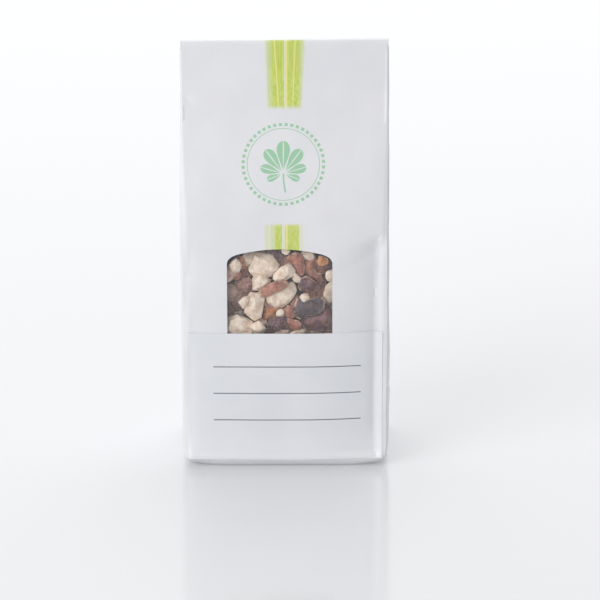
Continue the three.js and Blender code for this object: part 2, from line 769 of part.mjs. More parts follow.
// A chunk of no particular outline, turned at random.
function looseChunk(size, random) {
  const rim = Array.from({ length: 7 }, (_, i) => {
    const angle = (2 * Math.PI * (i + 0.6 * random())) / 7;
    const reach = (size / 2) * (0.75 + 0.35 * random());
    return [reach * Math.cos(angle), reach * 0.8 * Math.sin(angle)];
  });
  return kernelChunk(rim, random).rotateX(6 * random()).rotateY(6 * random()).rotateZ(6 * random());
}

// The rest of the fill: one packed mass that follows the bag, lumpy on top and behind the pieces.
function packedSeed({ min, max }) {
  const random = seeded(5);
  const clear = -PAPER - GAP - FILM - GAP - 0.1;
  const wall = max.y + ROOM_WALL_RELIEF;
  const room = (back) => block([min.x, max.x], [-60, back], [min.z, BAG_HEIGHT]);
  const lumps = [];
  const addLump = (size, x, y, z) => {
    const shift = () => 0.25 * size * (random() - 0.5);
    lumps.push(solidFrom(looseChunk(size, random).translate(x + shift(), y, z + shift())));
  };
  const { size: wallSize, every: wallStep } = WALL_CHUNK;
  for (let x = min.x + 5; x < max.x; x += wallStep) {
    for (let z = min.z + 6; z < FILL_TOP - 2; z += wallStep) addLump(wallSize, x, wall + 2, z);
  }
  const { size: topSize, every: topStep } = TOP_CHUNK;
  for (let x = -2 * topStep; x <= 2 * topStep; x += topStep) {
    for (const y of [-topStep, 0, topStep]) addLump(topSize, x, y, FILL_TOP - 2);
  }
  const core = bagBody(PAPER * 2 + GAP + 0.6, FILL_TOP, clear).subtract(room(wall));
  const within = bagBody(1, FILL_TOP + 12, clear).subtract(room(max.y));
  const fused = lumps.reduce((all, lump) => all.add(lump), core).intersect(within);
  return fused.decompose().sort((a, b) => b.volume() - a.volume())[0];
}

// Assembly

function mesh(name, geometry, material) {
  const made = new THREE.Mesh(geometry, material);
  made.name = name;
  return made;
}

const packet = new THREE.Group();
packet.name = 'chopped_conker_packet';

packet.add(mesh('paper_bag', geometryFrom(paperBag()), MATERIALS.paper));
packet.add(mesh('window_film', geometryFrom(windowFilm()), MATERIALS.film));
packet.add(mesh('front_label', geometryFrom(frontLabel()), MATERIALS.label));

const packed = packAgainstWindow(WINDOW_PIECES);
const room = packed.reduce((all, { geometry }) => all.union(geometry.boundingBox), new THREE.Box3());
const seedBehind = packedSeed(room.expandByScalar(ROOM_MARGIN));
packet.add(mesh('packed_seed', geometryFrom(seedBehind), MATERIALS.kernel));

const NAMES = { kernel: 'kernel_chunk', skin: 'dark_skin_flake', russet: 'russet_skin_flake' };
const counts = {};
for (const { kind, geometry } of packed) {
  counts[kind] = (counts[kind] ?? 0) + 1;
  const number = String(counts[kind]).padStart(2, '0');
  packet.add(mesh(`${NAMES[kind]}_${number}`, geometry, MATERIALS[kind]));
}

export default packet;
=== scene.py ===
"""A standing white paper packet with a clear window and a bare label, filled with chopped conker."""

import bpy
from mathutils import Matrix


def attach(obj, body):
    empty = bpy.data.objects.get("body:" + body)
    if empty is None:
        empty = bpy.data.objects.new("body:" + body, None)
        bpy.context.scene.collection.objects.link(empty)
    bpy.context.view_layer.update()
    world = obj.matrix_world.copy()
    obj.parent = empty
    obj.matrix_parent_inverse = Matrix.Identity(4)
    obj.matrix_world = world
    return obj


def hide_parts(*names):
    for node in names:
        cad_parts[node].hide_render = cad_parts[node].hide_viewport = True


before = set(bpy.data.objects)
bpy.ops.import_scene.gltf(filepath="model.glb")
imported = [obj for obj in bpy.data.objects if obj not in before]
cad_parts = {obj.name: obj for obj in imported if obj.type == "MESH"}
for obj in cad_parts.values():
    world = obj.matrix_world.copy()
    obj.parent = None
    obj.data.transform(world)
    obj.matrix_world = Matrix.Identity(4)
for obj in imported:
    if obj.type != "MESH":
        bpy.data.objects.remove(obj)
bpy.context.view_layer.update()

import math
from functools import partialmethod

import bmesh
import bpy
import numpy as np
from bpy.props import FloatProperty, FloatVectorProperty, IntProperty, PointerProperty
from bpy.types import Operator, Panel, PropertyGroup
from mathutils import Matrix, Vector, noise

bl_info = {
    "name": "Chopped Conker Packet",
    "version": (1, 0, 0),
    "blender": (4, 5, 0),
    "location": "View3D > Sidebar > Packet",
    "description": "Builds a filled paper packet with a window, a label and chopped seed behind it",
    "category": "Add Mesh",
}

MM = 0.001
CM = 0.01

# Shape of the filled bag in millimetres, as (height, value) along it
HALF_DEPTH = (
    (0, 29.6), (1.5, 32), (4, 33.7), (8, 33.9), (20, 33.6), (40, 33.1), (90, 32.6), (112, 31),
    (122, 28.4), (150, 17.8), (175, 7.6), (187, 2.9), (194, 1.7), (208, 1.3),
)
HALF_WIDTH = ((0, 47.6), (1.5, 49), (4, 49.7), (30, 50.4), (110, 50.6), (150, 50.5), (208, 50.5))
CORNER_RADIUS = ((0, 4.5), (4, 4.8), (20, 5), (100, 5), (122, 4.2), (145, 2.4), (170, 1.4), (208, 1))
PANEL_CROWN = ((0, 0.4), (4, 0.8), (12, 1.1), (50, 1.2), (105, 1.2), (135, 0.5), (170, 0.1), (208, 0))
GUSSET_DIMPLE = (
    (0, -0.2), (40, -0.9), (80, 0), (105, 2.4), (122, 5), (140, 1.5), (160, 0), (208, 0),
)
LEAN = ((0, 0), (118, 0), (165, -0.9), (208, -1.4))
GUSSET_HALF = 30
GUSSET_FOLDS_ABOVE = 90

# Where the folded top starts, where its arc ends and how far its strip hangs down the back
BAG_TOP = 208
FOLD_START = 200
TUBE_TOP = 203.5
FOLD_PLIES = 1.9
FOLD_STRIP = 25
FOLD_HALF_WIDTH = 50.4
# The top edge and the two lower front corners rise a little, each by so much at the bag's edge
TOP_SLOPE = 0.0065
CORNER_LIFT = 1.7

# The underside closes in rings at these shares of the way to its middle, and at these heights
BASE_RINGS = (0, 0.03, 0.12, 0.5)
BASE_RISE = (0, 0.05, 0.4, 0.55)
# The two glued flaps under it, each by its corners and height
BASE_FLAPS = (
    (((-44, -25.2), (44, -25.2), (34, -2), (34, 6), (-34, 6), (-34, -2)), 0.26),
    (((44, 25.2), (-44, 25.2), (-33, 3), (-33, -5), (33, -5), (33, 3)), 0.1),
)
FLAP_THICKNESS = 0.09

# Window and label on the front, from the bag's middle line and the ground
WINDOW = {"x": -2.5, "width": 51, "bottom": 50, "top": 111, "arch": 2.3, "corner": 6, "drop": 4.9}
LABEL_HALF = 47.6
LABEL_BOTTOM = 4.6
LABEL_TOP = 69
# The film reaches past the window by a margin, a little behind the paper's face
FILM_MARGIN = 4.5
FILM_SINK = 0.62
FILM_THICKNESS = 0.06
# The label lies just off the paper, with its edges curled up a little more
LABEL_LIFT = 0.3
LABEL_CURL = 0.22
LABEL_THICKNESS = 0.14

# Columns of the bag's grid: across the front, round a corner, along half a side and across the back.
# Near a side's middle crease they stand at these shares of its half, and then start at CREASE_SHARE
FRONT_COLUMNS = 68
CORNER_COLUMNS = 8
SIDE_COLUMNS = 15
BACK_COLUMNS = 44
CREASE_COLUMNS = (0, 0.012)
CREASE_SHARE = 0.06
# Its rows: close together at the foot, then a step apart
FOOT_ROWS = (0, 0.35, 0.8, 1.4, 2.2, 3.1)
STEADY_ROWS_FROM = 4.2
ROW_STEP = 1.3
# The pressed ridge down each corner, as a share of its radius, and the angle over which it dies out
RIDGE_RISE = 0.13
RIDGE_REACH = 0.22

# Creases in the paper: each runs along points given as (along the paper from the front's middle,
# height), with the reach of its sharp line and of its soft shoulder, and its depth, which is below 0
# for a valley
FRONT_CREASES = (
    (((50, 119), (46.2, 106), (44.2, 91), (43.8, 71), (43.4, 36), (43.6, 14)), 0.7, 3.2, -0.75),
    (((50, 120), (41, 113.5), (31, 108), (24, 101.5)), 1.4, 4.5, -0.6),
    (((-51, 181), (-47.5, 180), (-44, 177.6)), 0.6, 1.6, -0.75),
    (((-50, 176), (-46, 168)), 1.2, 3, 0.3),
    (((-51, 98), (-44.5, 97)), 0.5, 1.2, -0.45),
    (((-46, 111), (-47.6, 92), (-50.5, 71)), 0.8, 3, -0.5),
    (((-46, 66), (-46.5, 42), (-45.6, 9)), 0.6, 2.4, -0.35),
    (((36, 166), (33, 150)), 4, 7, -0.5),
    (((40, 146), (34, 138)), 3, 5, -0.35),
    (((-18.6, 209), (-19.4, 203.5)), 0.5, 1.4, -0.7),
    (((-15.8, 209), (-16.4, 205)), 0.4, 1.1, 0.55),
    (((-38, 150), (-43, 134)), 4, 7, 0.4),
    (((-34, 128), (0, 124), (34, 128)), 7, 12, -0.3),
    (((-47, 6.4), (0, 4.6), (47, 6.4)), 0.35, 1.0, 0.32),
    (((-47, 9.5), (0, 8.2), (47, 9.5)), 0.6, 2.2, -0.12),
    (((22, 34), (40, 24)), 4, 8, -0.4),
)
SIDE_CREASES = (
    (((54, 119), (66, 110), (80, 92)), 0.8, 3.2, -1.1),
    (((108, 119), (95, 109), (80, 92)), 0.8, 3.2, -1.1),
    (((80, 124), (80, 92)), 1.0, 4.5, -1.2),
    (((80, 92), (80, 34)), 1.0, 5, -0.5),
    (((55, 4), (80, 31), (107, 4)), 0.5, 2.2, 0.5),
    (((54, 31.5), (108, 31.5)), 0.4, 1.6, -0.35),
    (((62, 78), (78, 70), (96, 74)), 4, 9, -0.5),
    (((64, 52), (96, 46)), 4, 8, 0.4),
)
BACK_CREASES = (
    (((108, 119), (124, 110), (140, 104)), 1.2, 5, -0.8),
    (((212, 117), (196, 108), (180, 103)), 1.2, 5, -0.7),
    (((168, 172), (176, 138)), 3, 7, -0.7),
    (((120, 160), (128, 128)), 2.5, 7, -0.5),
    (((108, 61), (212, 61.6)), 0.5, 2, -0.6),
    (((118, 84), (150, 76)), 3, 9, -0.7),
    (((172, 52), (206, 40)), 2, 8, -0.6),
    (((168, 96), (190, 84), (204, 66)), 1.6, 6, -0.55),
    (((120, 190), (150, 186)), 1.5, 4, -0.4),
)
# Right of the window the filled panel turns towards its side, below a slanting shoulder
TURN = {"from": 9, "to": 43.6, "depth": 2.8, "edge": 119, "slope": 0.62, "power": 1.7}
# Left of it the panel sinks a little at its corner, more and more from a height down to the ground
LEFT_TURN = {"in": (45.5, 50), "out": (52, 58), "top": 42, "foot": 2, "depth": 1.2}
# The glued seam down the back, and the whole length of paper round the bag
BACK_SEAM = (142, 155)
BACK_SEAM_RISE = 0.5
PAPER_ROUND = 320
# Where the underside lies across the paper's UV map, clear of everything printed
UNPRINTED = 500
# Soft waves in the paper, as (height, size, squeeze upwards, seed), which are higher by a share on
# the sides and the back, and finer ones
PAPER_WAVES = ((0.34, 36, 1, 7), (0.13, 17, 0.6, 8))
FINE_WAVES = 0.035
ROUGHER_SIDES = 0.7
# The random waves repeat after so many lumps, and start away from the lattice's corner
LATTICE = 96
LATTICE_START = (31.7, 17.3)

# The printed stripe has an upper and a lower length, between two heights. The upper one's edges and
# threads are given by where they stand and how far they lean on the way down, and a thread's reach
UPPER_STRIPE = (207.5, 175.4)
LOWER_STRIPE = (122.8, 100)
STRIPE_EDGES = ((-8.9, -0.9), (9.5, 1.5))
UPPER_THREADS = ((-5, -2.2, 0.5), (5.3, 1.4, 0.42))
MIDDLE_THREAD = 0.95
LOW_LEFT_BAND = (-6.8, -1.2)
LOW_LEFT_CORE = (-4.5, -1.2)
LOW_RIGHT_BAND = (0.1, 7.0)
# The emblem's leaflets by their length, the turn between them, its place and its ring's dashes
LEAFLETS = (8.5, 11.5, 14.5, 16, 14.5, 11.5, 8.5)
LEAFLET_TURN = math.radians(37)
EMBLEM_SHIFT = 0.6
RING_DASHES = 44
# The ruled lines on the label
RULES = 3

# The flakes that aren't plum or brick, by tint and number, and the kernels of pinkish seed
SKIN_TINTS = {
    "slate": ("dark", 3, 13),
    # rose: flakes of dark skin that lie deep behind the film get a much lighter tint, painted light in
    # place of the light that does not reach them.
    "rose": ("dark", 8, 9, 10, 16),
    "chestnut": ("dark", 2, 7, 11),
    "amber": ("russet", 5, 6, 7),
}
REST_TINT = {"dark": "plum", "russet": "brick"}
PINK_KERNELS = (17, 18, 20, 22)
# Each tint: a kernel's pale, shaded and brown staining colour, the last also painting shade into its
# hollows, or a skin's outside, bloom, patches and inside
SEED_LOOKS = {
    "cream": ("kernel", (255, 242, 226), (240, 217, 194), (172, 124, 98)),
    "pink": ("kernel", (242, 218, 202), (212, 178, 160), (150, 96, 80)),
    "slate": ("skin", (66, 56, 63), (116, 104, 113), (98, 70, 66), (176, 130, 112)),
    "plum": ("skin", (88, 56, 58), (150, 118, 124), (144, 86, 62), (192, 138, 108)),
    "chestnut": ("skin", (122, 70, 52), (182, 128, 106), (92, 60, 64), (214, 154, 114)),
    "brick": ("skin", (168, 100, 80), (204, 146, 124), (140, 90, 68), (216, 158, 130)),
    "amber": ("skin", (190, 114, 64), (234, 178, 120), (158, 88, 58), (226, 172, 118)),
    # Painted light: a lightened tint for dark flakes that lie deep in shade.
    "rose": ("skin", (184, 134, 118), (222, 186, 174), (150, 108, 106), (228, 188, 164)),
}
# The film's inner face, and how far pieces that lie deep behind it are drawn nearer: by a share of
# what they lie deeper than DEEP_FROM, along the slope of the view
FILM_FACE = -33
DEEP_FROM = 6
DEEP_SHARE = 0.8
DEEP_MOST = 14
SIGHT_SLOPE = 0.3
# Sectors round a flake in which its rim is found, and the rim's colour: a pale broken edge, which also
# serves as a painted highlight
RIM_SECTORS = 60
BROKEN_RIM_AND_HIGHLIGHT = (228, 192, 166)
# A kernel's flat breaks: how far each tilts from the window, and at what share of its reach it cuts
FRONT_BREAK = ((0.08, 0.3), (0.74, 0.84))
SIDE_BREAKS = (((0.5, 1.0), (0.74, 0.86)), ((1.25, 1.65), (0.78, 0.89)))
# How the pieces are broken: times they are smoothed, depth of their relief, how far they are spread
# all round and how much more at the front, and the number of flat breaks round them
KERNEL_BREAK = {"smooth": 1, "depth": 0.2, "swell": 1.1, "steep": 0.34, "faces": 5}
SKIN_BREAK = {"smooth": 2, "depth": 0.24, "swell": 0.55}
PACKED_BREAK = {"grain": 1.1, "smooth": 2, "depth": 0.4}
# The roughness of a break: ridges between cells, and lumps as (size, height)
RIDGE_SIZE = 3.4
RIDGE_HEIGHT = 1.7
LUMPS = ((2.8, 0.7), (1.1, 0.35), (0.5, 0.2))
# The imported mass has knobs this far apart. It is drawn in from the paper, and more between the knobs
PACKED_KNOB = 7
PACKED_INSET = (1.6, 2.2)
# Loose crumbs fill these blocks behind the window pieces, as (left, right, near, far), between two
# heights. Each has this length and breadth, and is scaled by chance between two shares
CRUMB_BLOCKS = ((-11, 25, -22.5, -12), (-30, -11.5, -17.5, -6))
CRUMB_HEIGHTS = (59, 110)
CRUMB_SPAN = (3.0, 2.3)
CRUMB_SCALES = (0.55, 1.25)
# Their kinds, as (name, tint, slot, thickness of each variant, share), and their node tree's inputs
# Kernel crumbs take the darker pink tint, and dark skin crumbs far outnumber them: partly the seed's own
# skin, partly a dark fill standing in for the shade between the pieces.
CRUMB_KINDS = (
    ("kernel_crumbs", "pink", "kernel", (1.5, 1.9), 0.22),
    ("plum_crumbs", "plum", "dark_skin", (0.55, 0.8), 0.9),
    ("chestnut_crumbs", "chestnut", "dark_skin", (0.5, 0.7), 0.8),
    ("brick_crumbs", "brick", "russet_skin", (0.5, 0.8), 0.8),
)
CRUMB_INPUTS = (
    ("Volume", "Geometry"), ("Density", "Float"), ("Smallest", "Float"), ("Largest", "Float"),
    ("Seed", "Int"),
)

# Stage: the soft boxes in metres, the camera's target in millimetres and its roll in degrees
SOFT_BOX = {"spot": (-1.2, -1.22, 0.95), "size": 1.4, "aim": (0, 0, 0.1)}
BACK_SOFT_BOX = {"spot": (0.1, 1.3, 1.7), "size": 1.8, "aim": (0.1, 1.1, 0)}
CAMERA_TARGET = (7.3, -32, 85.4)
CAMERA_ROLL = -0.12
SENSOR_WIDTH = 36


# Numbers and curves

def srgb(red, green, blue):
    """A colour given as it looks on screen, from 0 to 255, in the linear values materials use."""
    shares = (channel / 255 for channel in (red, green, blue))
    return tuple(s / 12.92 if s <= 0.04045 else ((s + 0.055) / 1.055) ** 2.4 for s in shares)


def smooth_curve(knots):
    """A function of height, smooth through the knots and straight at both ends."""
    spot, value = np.array(knots, float).T
    chord = np.diff(value) / np.diff(spot)
    slope = np.concatenate([chord[:1], (chord[:-1] + chord[1:]) / 2, chord[-1:]])

    def at(height):
        z = np.clip(np.asarray(height, float), spot[0], spot[-1])
        i = np.clip(np.searchsorted(spot, z, side="right"), 1, len(spot) - 1)
        run = spot[i] - spot[i - 1]
        p = (z - spot[i - 1]) / run
        straight = (1 + 2 * p) * (1 - p) ** 2 * value[i - 1] + p * p * (3 - 2 * p) * value[i]
        return straight + run * p * (1 - p) * ((1 - p) * slope[i - 1] - p * slope[i])

    return at


half_depth = smooth_curve(HALF_DEPTH)
half_width = smooth_curve(HALF_WIDTH)
corner_radius = smooth_curve(CORNER_RADIUS)
panel_crown = smooth_curve(PANEL_CROWN)
gusset_dimple = smooth_curve(GUSSET_DIMPLE)
lean = smooth_curve(LEAN)


def fade(value, low, high):
    """0 below low, 1 above high and smooth between."""
    share = np.clip((np.asarray(value, float) - low) / (high - low), 0, 1)
    return share * share * (3 - 2 * share)


def soft_noise(across, up, size, seed):
    """Smooth random waves from -1 to 1 over the paper, about size millimetres apart."""
    lattice = np.random.default_rng(seed).uniform(-1, 1, (LATTICE, LATTICE))
    a, b = across / size + LATTICE_START[0], up / size + LATTICE_START[1]
    i, k = np.floor(a).astype(int), np.floor(b).astype(int)
    s, t = fade(a - i, 0, 1), fade(b - k, 0, 1)

    def row(dk):
        near, far = (lattice[(i + di) % LATTICE, (k + dk) % LATTICE] for di in (0, 1))
        return near * (1 - s) + far * s

    return row(0) * (1 - t) + row(1) * t


# Bag surface

def gusset_fold(z):
    """How far the side's middle crease is folded in: its halves keep their width of paper."""
    folded = np.sqrt(GUSSET_HALF**2 - np.minimum(half_depth(z), GUSSET_HALF) ** 2)
    return np.where(z > GUSSET_FOLDS_ABOVE, folded, 0) + gusset_dimple(z)


def outline_rows(heights):
    """The bag's outline at each height, from the back's middle round the left side and the front."""
    z = np.asarray(heights, float)[:, None]
    depth, width, radius = half_depth(z), half_width(z), corner_radius(z)
    crown, fold = panel_crown(z), gusset_fold(z)
    turn = np.linspace(0, math.pi / 2, CORNER_COLUMNS + 1)[None, :]
    pressed = radius * (1 + RIDGE_RISE * np.exp(-np.abs(turn - math.pi / 4) / RIDGE_REACH))
    half_side = np.concatenate([CREASE_COLUMNS, np.linspace(CREASE_SHARE, 1, SIDE_COLUMNS)])
    side = np.concatenate([half_side[::-1], -half_side[1:]])[None, :]
    front = np.linspace(-1, 1, FRONT_COLUMNS + 1)[None, :]
    back = np.linspace(1, 0, BACK_COLUMNS // 2 + 1)[None, :]
    flat_x, flat_y = width - radius, depth - radius

    def panel(share):
        return depth + crown * (1 - share**4)

    right = [
        (flat_x + pressed * np.sin(turn), -flat_y - pressed * np.cos(turn)),
        (width - fold * (1 - np.abs(side)), -flat_y * side),
        (flat_x + pressed * np.cos(turn), flat_y + pressed * np.sin(turn)),
        (flat_x * back, panel(back)),
    ]
    left = [(-x[:, ::-1], y[:, ::-1]) for x, y in reversed(right)]
    parts = left + [(flat_x * front, -panel(front))] + right
    x, y = (np.concatenate([part[axis] for part in parts], axis=1) for axis in (0, 1))
    y = y + lean(z)
    step = np.hypot(np.diff(x, axis=1), np.diff(y, axis=1))
    distinct = np.concatenate([[True], step.max(axis=0) > 1e-6])
    return x[:, distinct], y[:, distinct]


def paper_lengths(x, y):
    """How far each point of an outline is along the paper from the front's middle."""
    along = np.cumsum(np.hypot(np.diff(x, axis=1), np.diff(y, axis=1)), axis=1)
    along = np.concatenate([np.zeros((len(x), 1)), along], axis=1)
    return along - along[:, -1:] / 2


def distance_to_line(across, up, points):
    """Distance to a line through points, and to the nearer of its ends measured along it."""
    walked, nearest, spot = 0.0, np.inf, 0.0
    for (x0, z0), (x1, z1) in zip(points, points[1:]):
        length = math.hypot(x1 - x0, z1 - z0)
        along = ((across - x0) * (x1 - x0) + (up - z0) * (z1 - z0)) / length
        held = np.clip(along, 0, length)
        aside = np.hypot(across - x0 - held * (x1 - x0) / length, up - z0 - held * (z1 - z0) / length)
        spot = np.where(aside < nearest, walked + held, spot)
        nearest = np.minimum(aside, nearest)
        walked += length
    return nearest, np.minimum(spot, walked - spot)


def crease_height(across, up, creases):
    """The height of a set of creases over the paper: sharp lines that die out, on soft shoulders."""
    total = np.zeros(np.broadcast(across, up).shape)
    for points, sharp, wide, depth in creases:
        aside, from_end = distance_to_line(across, up, points)
        ends = 0.25 + 0.75 * fade(from_end, 0, 2.5 * wide)
        total += depth * ends * (0.5 * np.exp(-aside / sharp) + 0.5 * np.exp(-((aside / wide) ** 2)))
    return total


def panel_turn(across, up):
    """How far the front panel sinks towards its right corner, and its left one near the ground."""
    shoulder = TURN["edge"] - (50 - across) * TURN["slope"]
    share = np.clip((across - TURN["from"]) / (TURN["to"] - TURN["from"]), 0, 1)
    right = share ** TURN["power"] * fade(shoulder - up, -3, 7) * (1 - fade(across, TURN["to"], 50))
    left = fade(-across, *LEFT_TURN["in"]) * (1 - fade(-across, *LEFT_TURN["out"]))
    left = left * fade(-up, -LEFT_TURN["top"], -LEFT_TURN["foot"])
    return -TURN["depth"] * right - LEFT_TURN["depth"] * left


def paper_relief(across, up):
    """How far the paper stands out of the bag's smooth form, in millimetres."""
    side = np.abs(across)
    relief = crease_height(across, up, FRONT_CREASES) + panel_turn(across, up)
    relief += crease_height(side + 1.5 * soft_noise(across, up, 30, 3), up, SIDE_CREASES)
    relief += crease_height(np.where(across > 0, across, across + PAPER_ROUND), up, BACK_CREASES)
    unseen = 1 + ROUGHER_SIDES * fade(side, 60, 90)
    for height, size, squeeze, seed in PAPER_WAVES:
        relief += height * unseen * soft_noise(across, up * squeeze, size, seed)
    relief += FINE_WAVES * soft_noise(across, up, 6.5, 9)
    for edge, rise in zip(BACK_SEAM, (BACK_SEAM_RISE, -BACK_SEAM_RISE)):
        relief += rise * fade(across, edge, edge + 0.8)
    hemmed = fade(up, 0.4, 9) * (1 - 0.75 * fade(up, 188, 204))
    return relief * hemmed


def grid_normals(points):
    """The outward direction at each point of a grid of rows and columns."""
    across = np.gradient(points, axis=1)
    up = np.gradient(points, axis=0)
    normal = np.cross(across, up)
    return normal / np.maximum(np.linalg.norm(normal, axis=2, keepdims=True), 1e-9)


def paper_sheet(across, heights, lift, follow=1.0):
    """Points of a sheet that lies on the bag, lifted off it. across is from the front's middle."""
    x, y = outline_rows(heights)
    lengths = paper_lengths(x, y)
    xs = np.array([np.interp(across, row, values) for row, values in zip(lengths, x)])
    ys = np.array([np.interp(across, row, values) for row, values in zip(lengths, y)])
    up = np.repeat(np.asarray(heights, float)[:, None], len(across), axis=1)
    points = np.stack([xs, ys, up], axis=2)
    relief = paper_relief(np.asarray(across, float)[None, :], up) * follow
    return points + grid_normals(points) * (relief + lift)[:, :, None]


def up_the_front(heights):
    """How far up the paper each height is, measured along the front's middle."""
    fine = np.linspace(0, BAG_TOP, 800)
    front = lean(fine) - half_depth(fine) - panel_crown(fine)
    climbed = np.concatenate([[0], np.cumsum(np.hypot(np.diff(fine), np.diff(front)))])
    return np.interp(heights, fine, climbed)


def window_outline(count=240):
    """The window's edge as (x, z) points, anticlockwise."""
    w = WINDOW
    left, right = w["x"] - w["width"] / 2, w["x"] + w["width"] / 2
    arch_end = w["top"] - w["arch"]
    pull = arch_end - 2 * w["arch"] * w["corner"] / (w["width"] / 2 - w["corner"])
    c = w["corner"]
    arcs = [
        ((left, w["bottom"] + c), (left, w["bottom"]), (left + c, w["bottom"])),
        ((right - c, w["bottom"]), (right, w["bottom"]), (right, w["bottom"] + c)),
        ((right, arch_end - w["drop"]), (right, pull), (right - c, arch_end)),
        ((right - c, arch_end), (w["x"], w["top"] + w["arch"]), (left + c, arch_end)),
        ((left + c, arch_end), (left, pull), (left, arch_end - w["drop"])),
    ]
    corners = []
    for start, middle, end in arcs:
        t = np.linspace(0, 1, 24)[:, None]
        a, b, d = np.array(start), np.array(middle), np.array(end)
        corners.append((1 - t) ** 2 * a + 2 * t * (1 - t) * b + t**2 * d)
    rough = np.concatenate(corners + [corners[0][:1]])
    lengths = np.concatenate([[0], np.cumsum(np.hypot(*np.diff(rough, axis=0).T))])
    at = np.linspace(0, lengths[-1], count, endpoint=False)
    return np.stack([np.interp(at, lengths, rough[:, 0]), np.interp(at, lengths, rough[:, 1])], axis=1)


def inside_outline(x, z, outline):
    """Whether each point lies inside a closed outline."""
    inside = np.zeros(np.broadcast(x, z).shape, bool)
    for (xa, za), (xb, zb) in zip(outline, np.roll(outline, -1, axis=0)):
        crosses = (za > z) != (zb > z)
        slope = (xb - xa) / (zb - za if zb != za else 1e-9)
        inside ^= crosses & (x < xa + (z - za) * slope)
    return inside


# Mesh helpers

def link(name, mesh):
    """A new object in the scene, which sits at the origin with its place in its mesh."""
    piece = bpy.data.objects.new(name, mesh)
    bpy.context.scene.collection.objects.link(piece)
    return piece


def add_grid(bm, points, uvs, keep=None):
    """Adds a grid of quads in millimetres to a mesh, with a paper UV map in metres."""
    layer = bm.loops.layers.uv.get("paper") or bm.loops.layers.uv.new("paper")
    rows, columns = points.shape[:2]
    verts = [[bm.verts.new(points[r, c] * MM) for c in range(columns)] for r in range(rows)]
    for r in range(rows - 1):
        for c in range(columns - 1):
            if keep is not None and not keep[r, c]:
                continue
            corners = ((r, c), (r, c + 1), (r + 1, c + 1), (r + 1, c))
            face = bm.faces.new([verts[i][k] for i, k in corners])
            face.smooth = True
            for loop, (i, k) in zip(face.loops, corners):
                loop[layer].uv = uvs[i, k] * MM
    return verts


def finish_mesh(bm, name):
    """Merges a mesh's doubles, drops loose points and returns it as an object."""
    bmesh.ops.remove_doubles(bm, verts=bm.verts, dist=1e-6)
    loose = [v for v in bm.verts if not v.link_faces]
    bmesh.ops.delete(bm, geom=loose, context="VERTS")
    mesh = bpy.data.meshes.new(name)
    bm.to_mesh(mesh)
    bm.free()
    return link(name, mesh)


def apply_modifiers(piece):
    """Makes a piece's modifiers part of its mesh."""
    graph = bpy.context.evaluated_depsgraph_get()
    graph.update()
    mesh = bpy.data.meshes.new_from_object(piece.evaluated_get(graph))
    mesh.name = piece.name
    piece.modifiers.clear()
    piece.data = mesh
    return piece


def thicken(piece, thickness, sharp_angle=50):
    """Gives a sheet its thickness, inwards, with crisp cut edges."""
    solidify = piece.modifiers.new("Thickness", "SOLIDIFY")
    solidify.thickness = thickness * MM
    solidify.offset = -1
    apply_modifiers(piece)
    piece.data.shade_smooth()
    piece.data.set_sharp_from_angle(angle=math.radians(sharp_angle))
    return piece


def grid_uvs(across, up):
    return np.stack(np.broadcast_arrays(across, up), axis=2).astype(float)


def place(piece, slot, material, *nodes):
    """Gives a piece its material, hangs it on the root body and hides the frame's parts that it stands
    for.
    """
    piece.data.materials.clear()
    piece.data.materials.append(material)
    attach(piece, "root")
    if nodes:
        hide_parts(*nodes)


# Material helpers

def feed(slot, value):
    """Gives a node's input a number or colour, or links a Value or another node's output to it."""
    value = getattr(value, "socket", value)
    if isinstance(value, bpy.types.NodeSocket):
        slot.id_data.links.new(value, slot)
    elif slot.type == "RGBA":
        slot.default_value = (*value, 1)
    else:
        slot.default_value = value


def add_node(tree, kind, inputs=None, **settings):
    """A new node with its settings, and its inputs fed by name or number."""
    node = tree.nodes.new(kind)
    for name, value in settings.items():
        setattr(node, name, value)
    for slot, value in (inputs or {}).items():
        feed(node.inputs[slot], value)
    return node


class Value:
    """A number in a node tree, so that a pattern reads as arithmetic."""

    def __init__(self, socket):
        self.socket = socket

    def math(self, operation, *others):
        values = dict(enumerate((self, *others)))
        node = add_node(self.socket.id_data, "ShaderNodeMath", values, operation=operation)
        return Value(node.outputs[0])

    __add__ = partialmethod(math, "ADD")
    __sub__ = partialmethod(math, "SUBTRACT")
    __mul__ = partialmethod(math, "MULTIPLY")
    __truediv__ = partialmethod(math, "DIVIDE")
    __abs__ = partialmethod(math, "ABSOLUTE")
    power = partialmethod(math, "POWER")
    most = partialmethod(math, "MAXIMUM")
    least = partialmethod(math, "MINIMUM")
    sine = partialmethod(math, "SINE")
    cosine = partialmethod(math, "COSINE")
    bearing = partialmethod(math, "ARCTAN2")
    remainder = partialmethod(math, "FRACT")

    def hypot(self, other):
        return (self * self + other * other).power(0.5)

    def fade(self, low, high):
        """0 at low, 1 at high and smooth between, where low may be above high."""
        flip = low > high
        node = add_node(self.socket.id_data, "ShaderNodeMapRange", {
            "Value": self, "From Min": min(low, high), "From Max": max(low, high),
            "To Min": float(flip), "To Max": float(not flip),
        }, interpolation_type="SMOOTHSTEP")
        return Value(node.outputs["Result"])


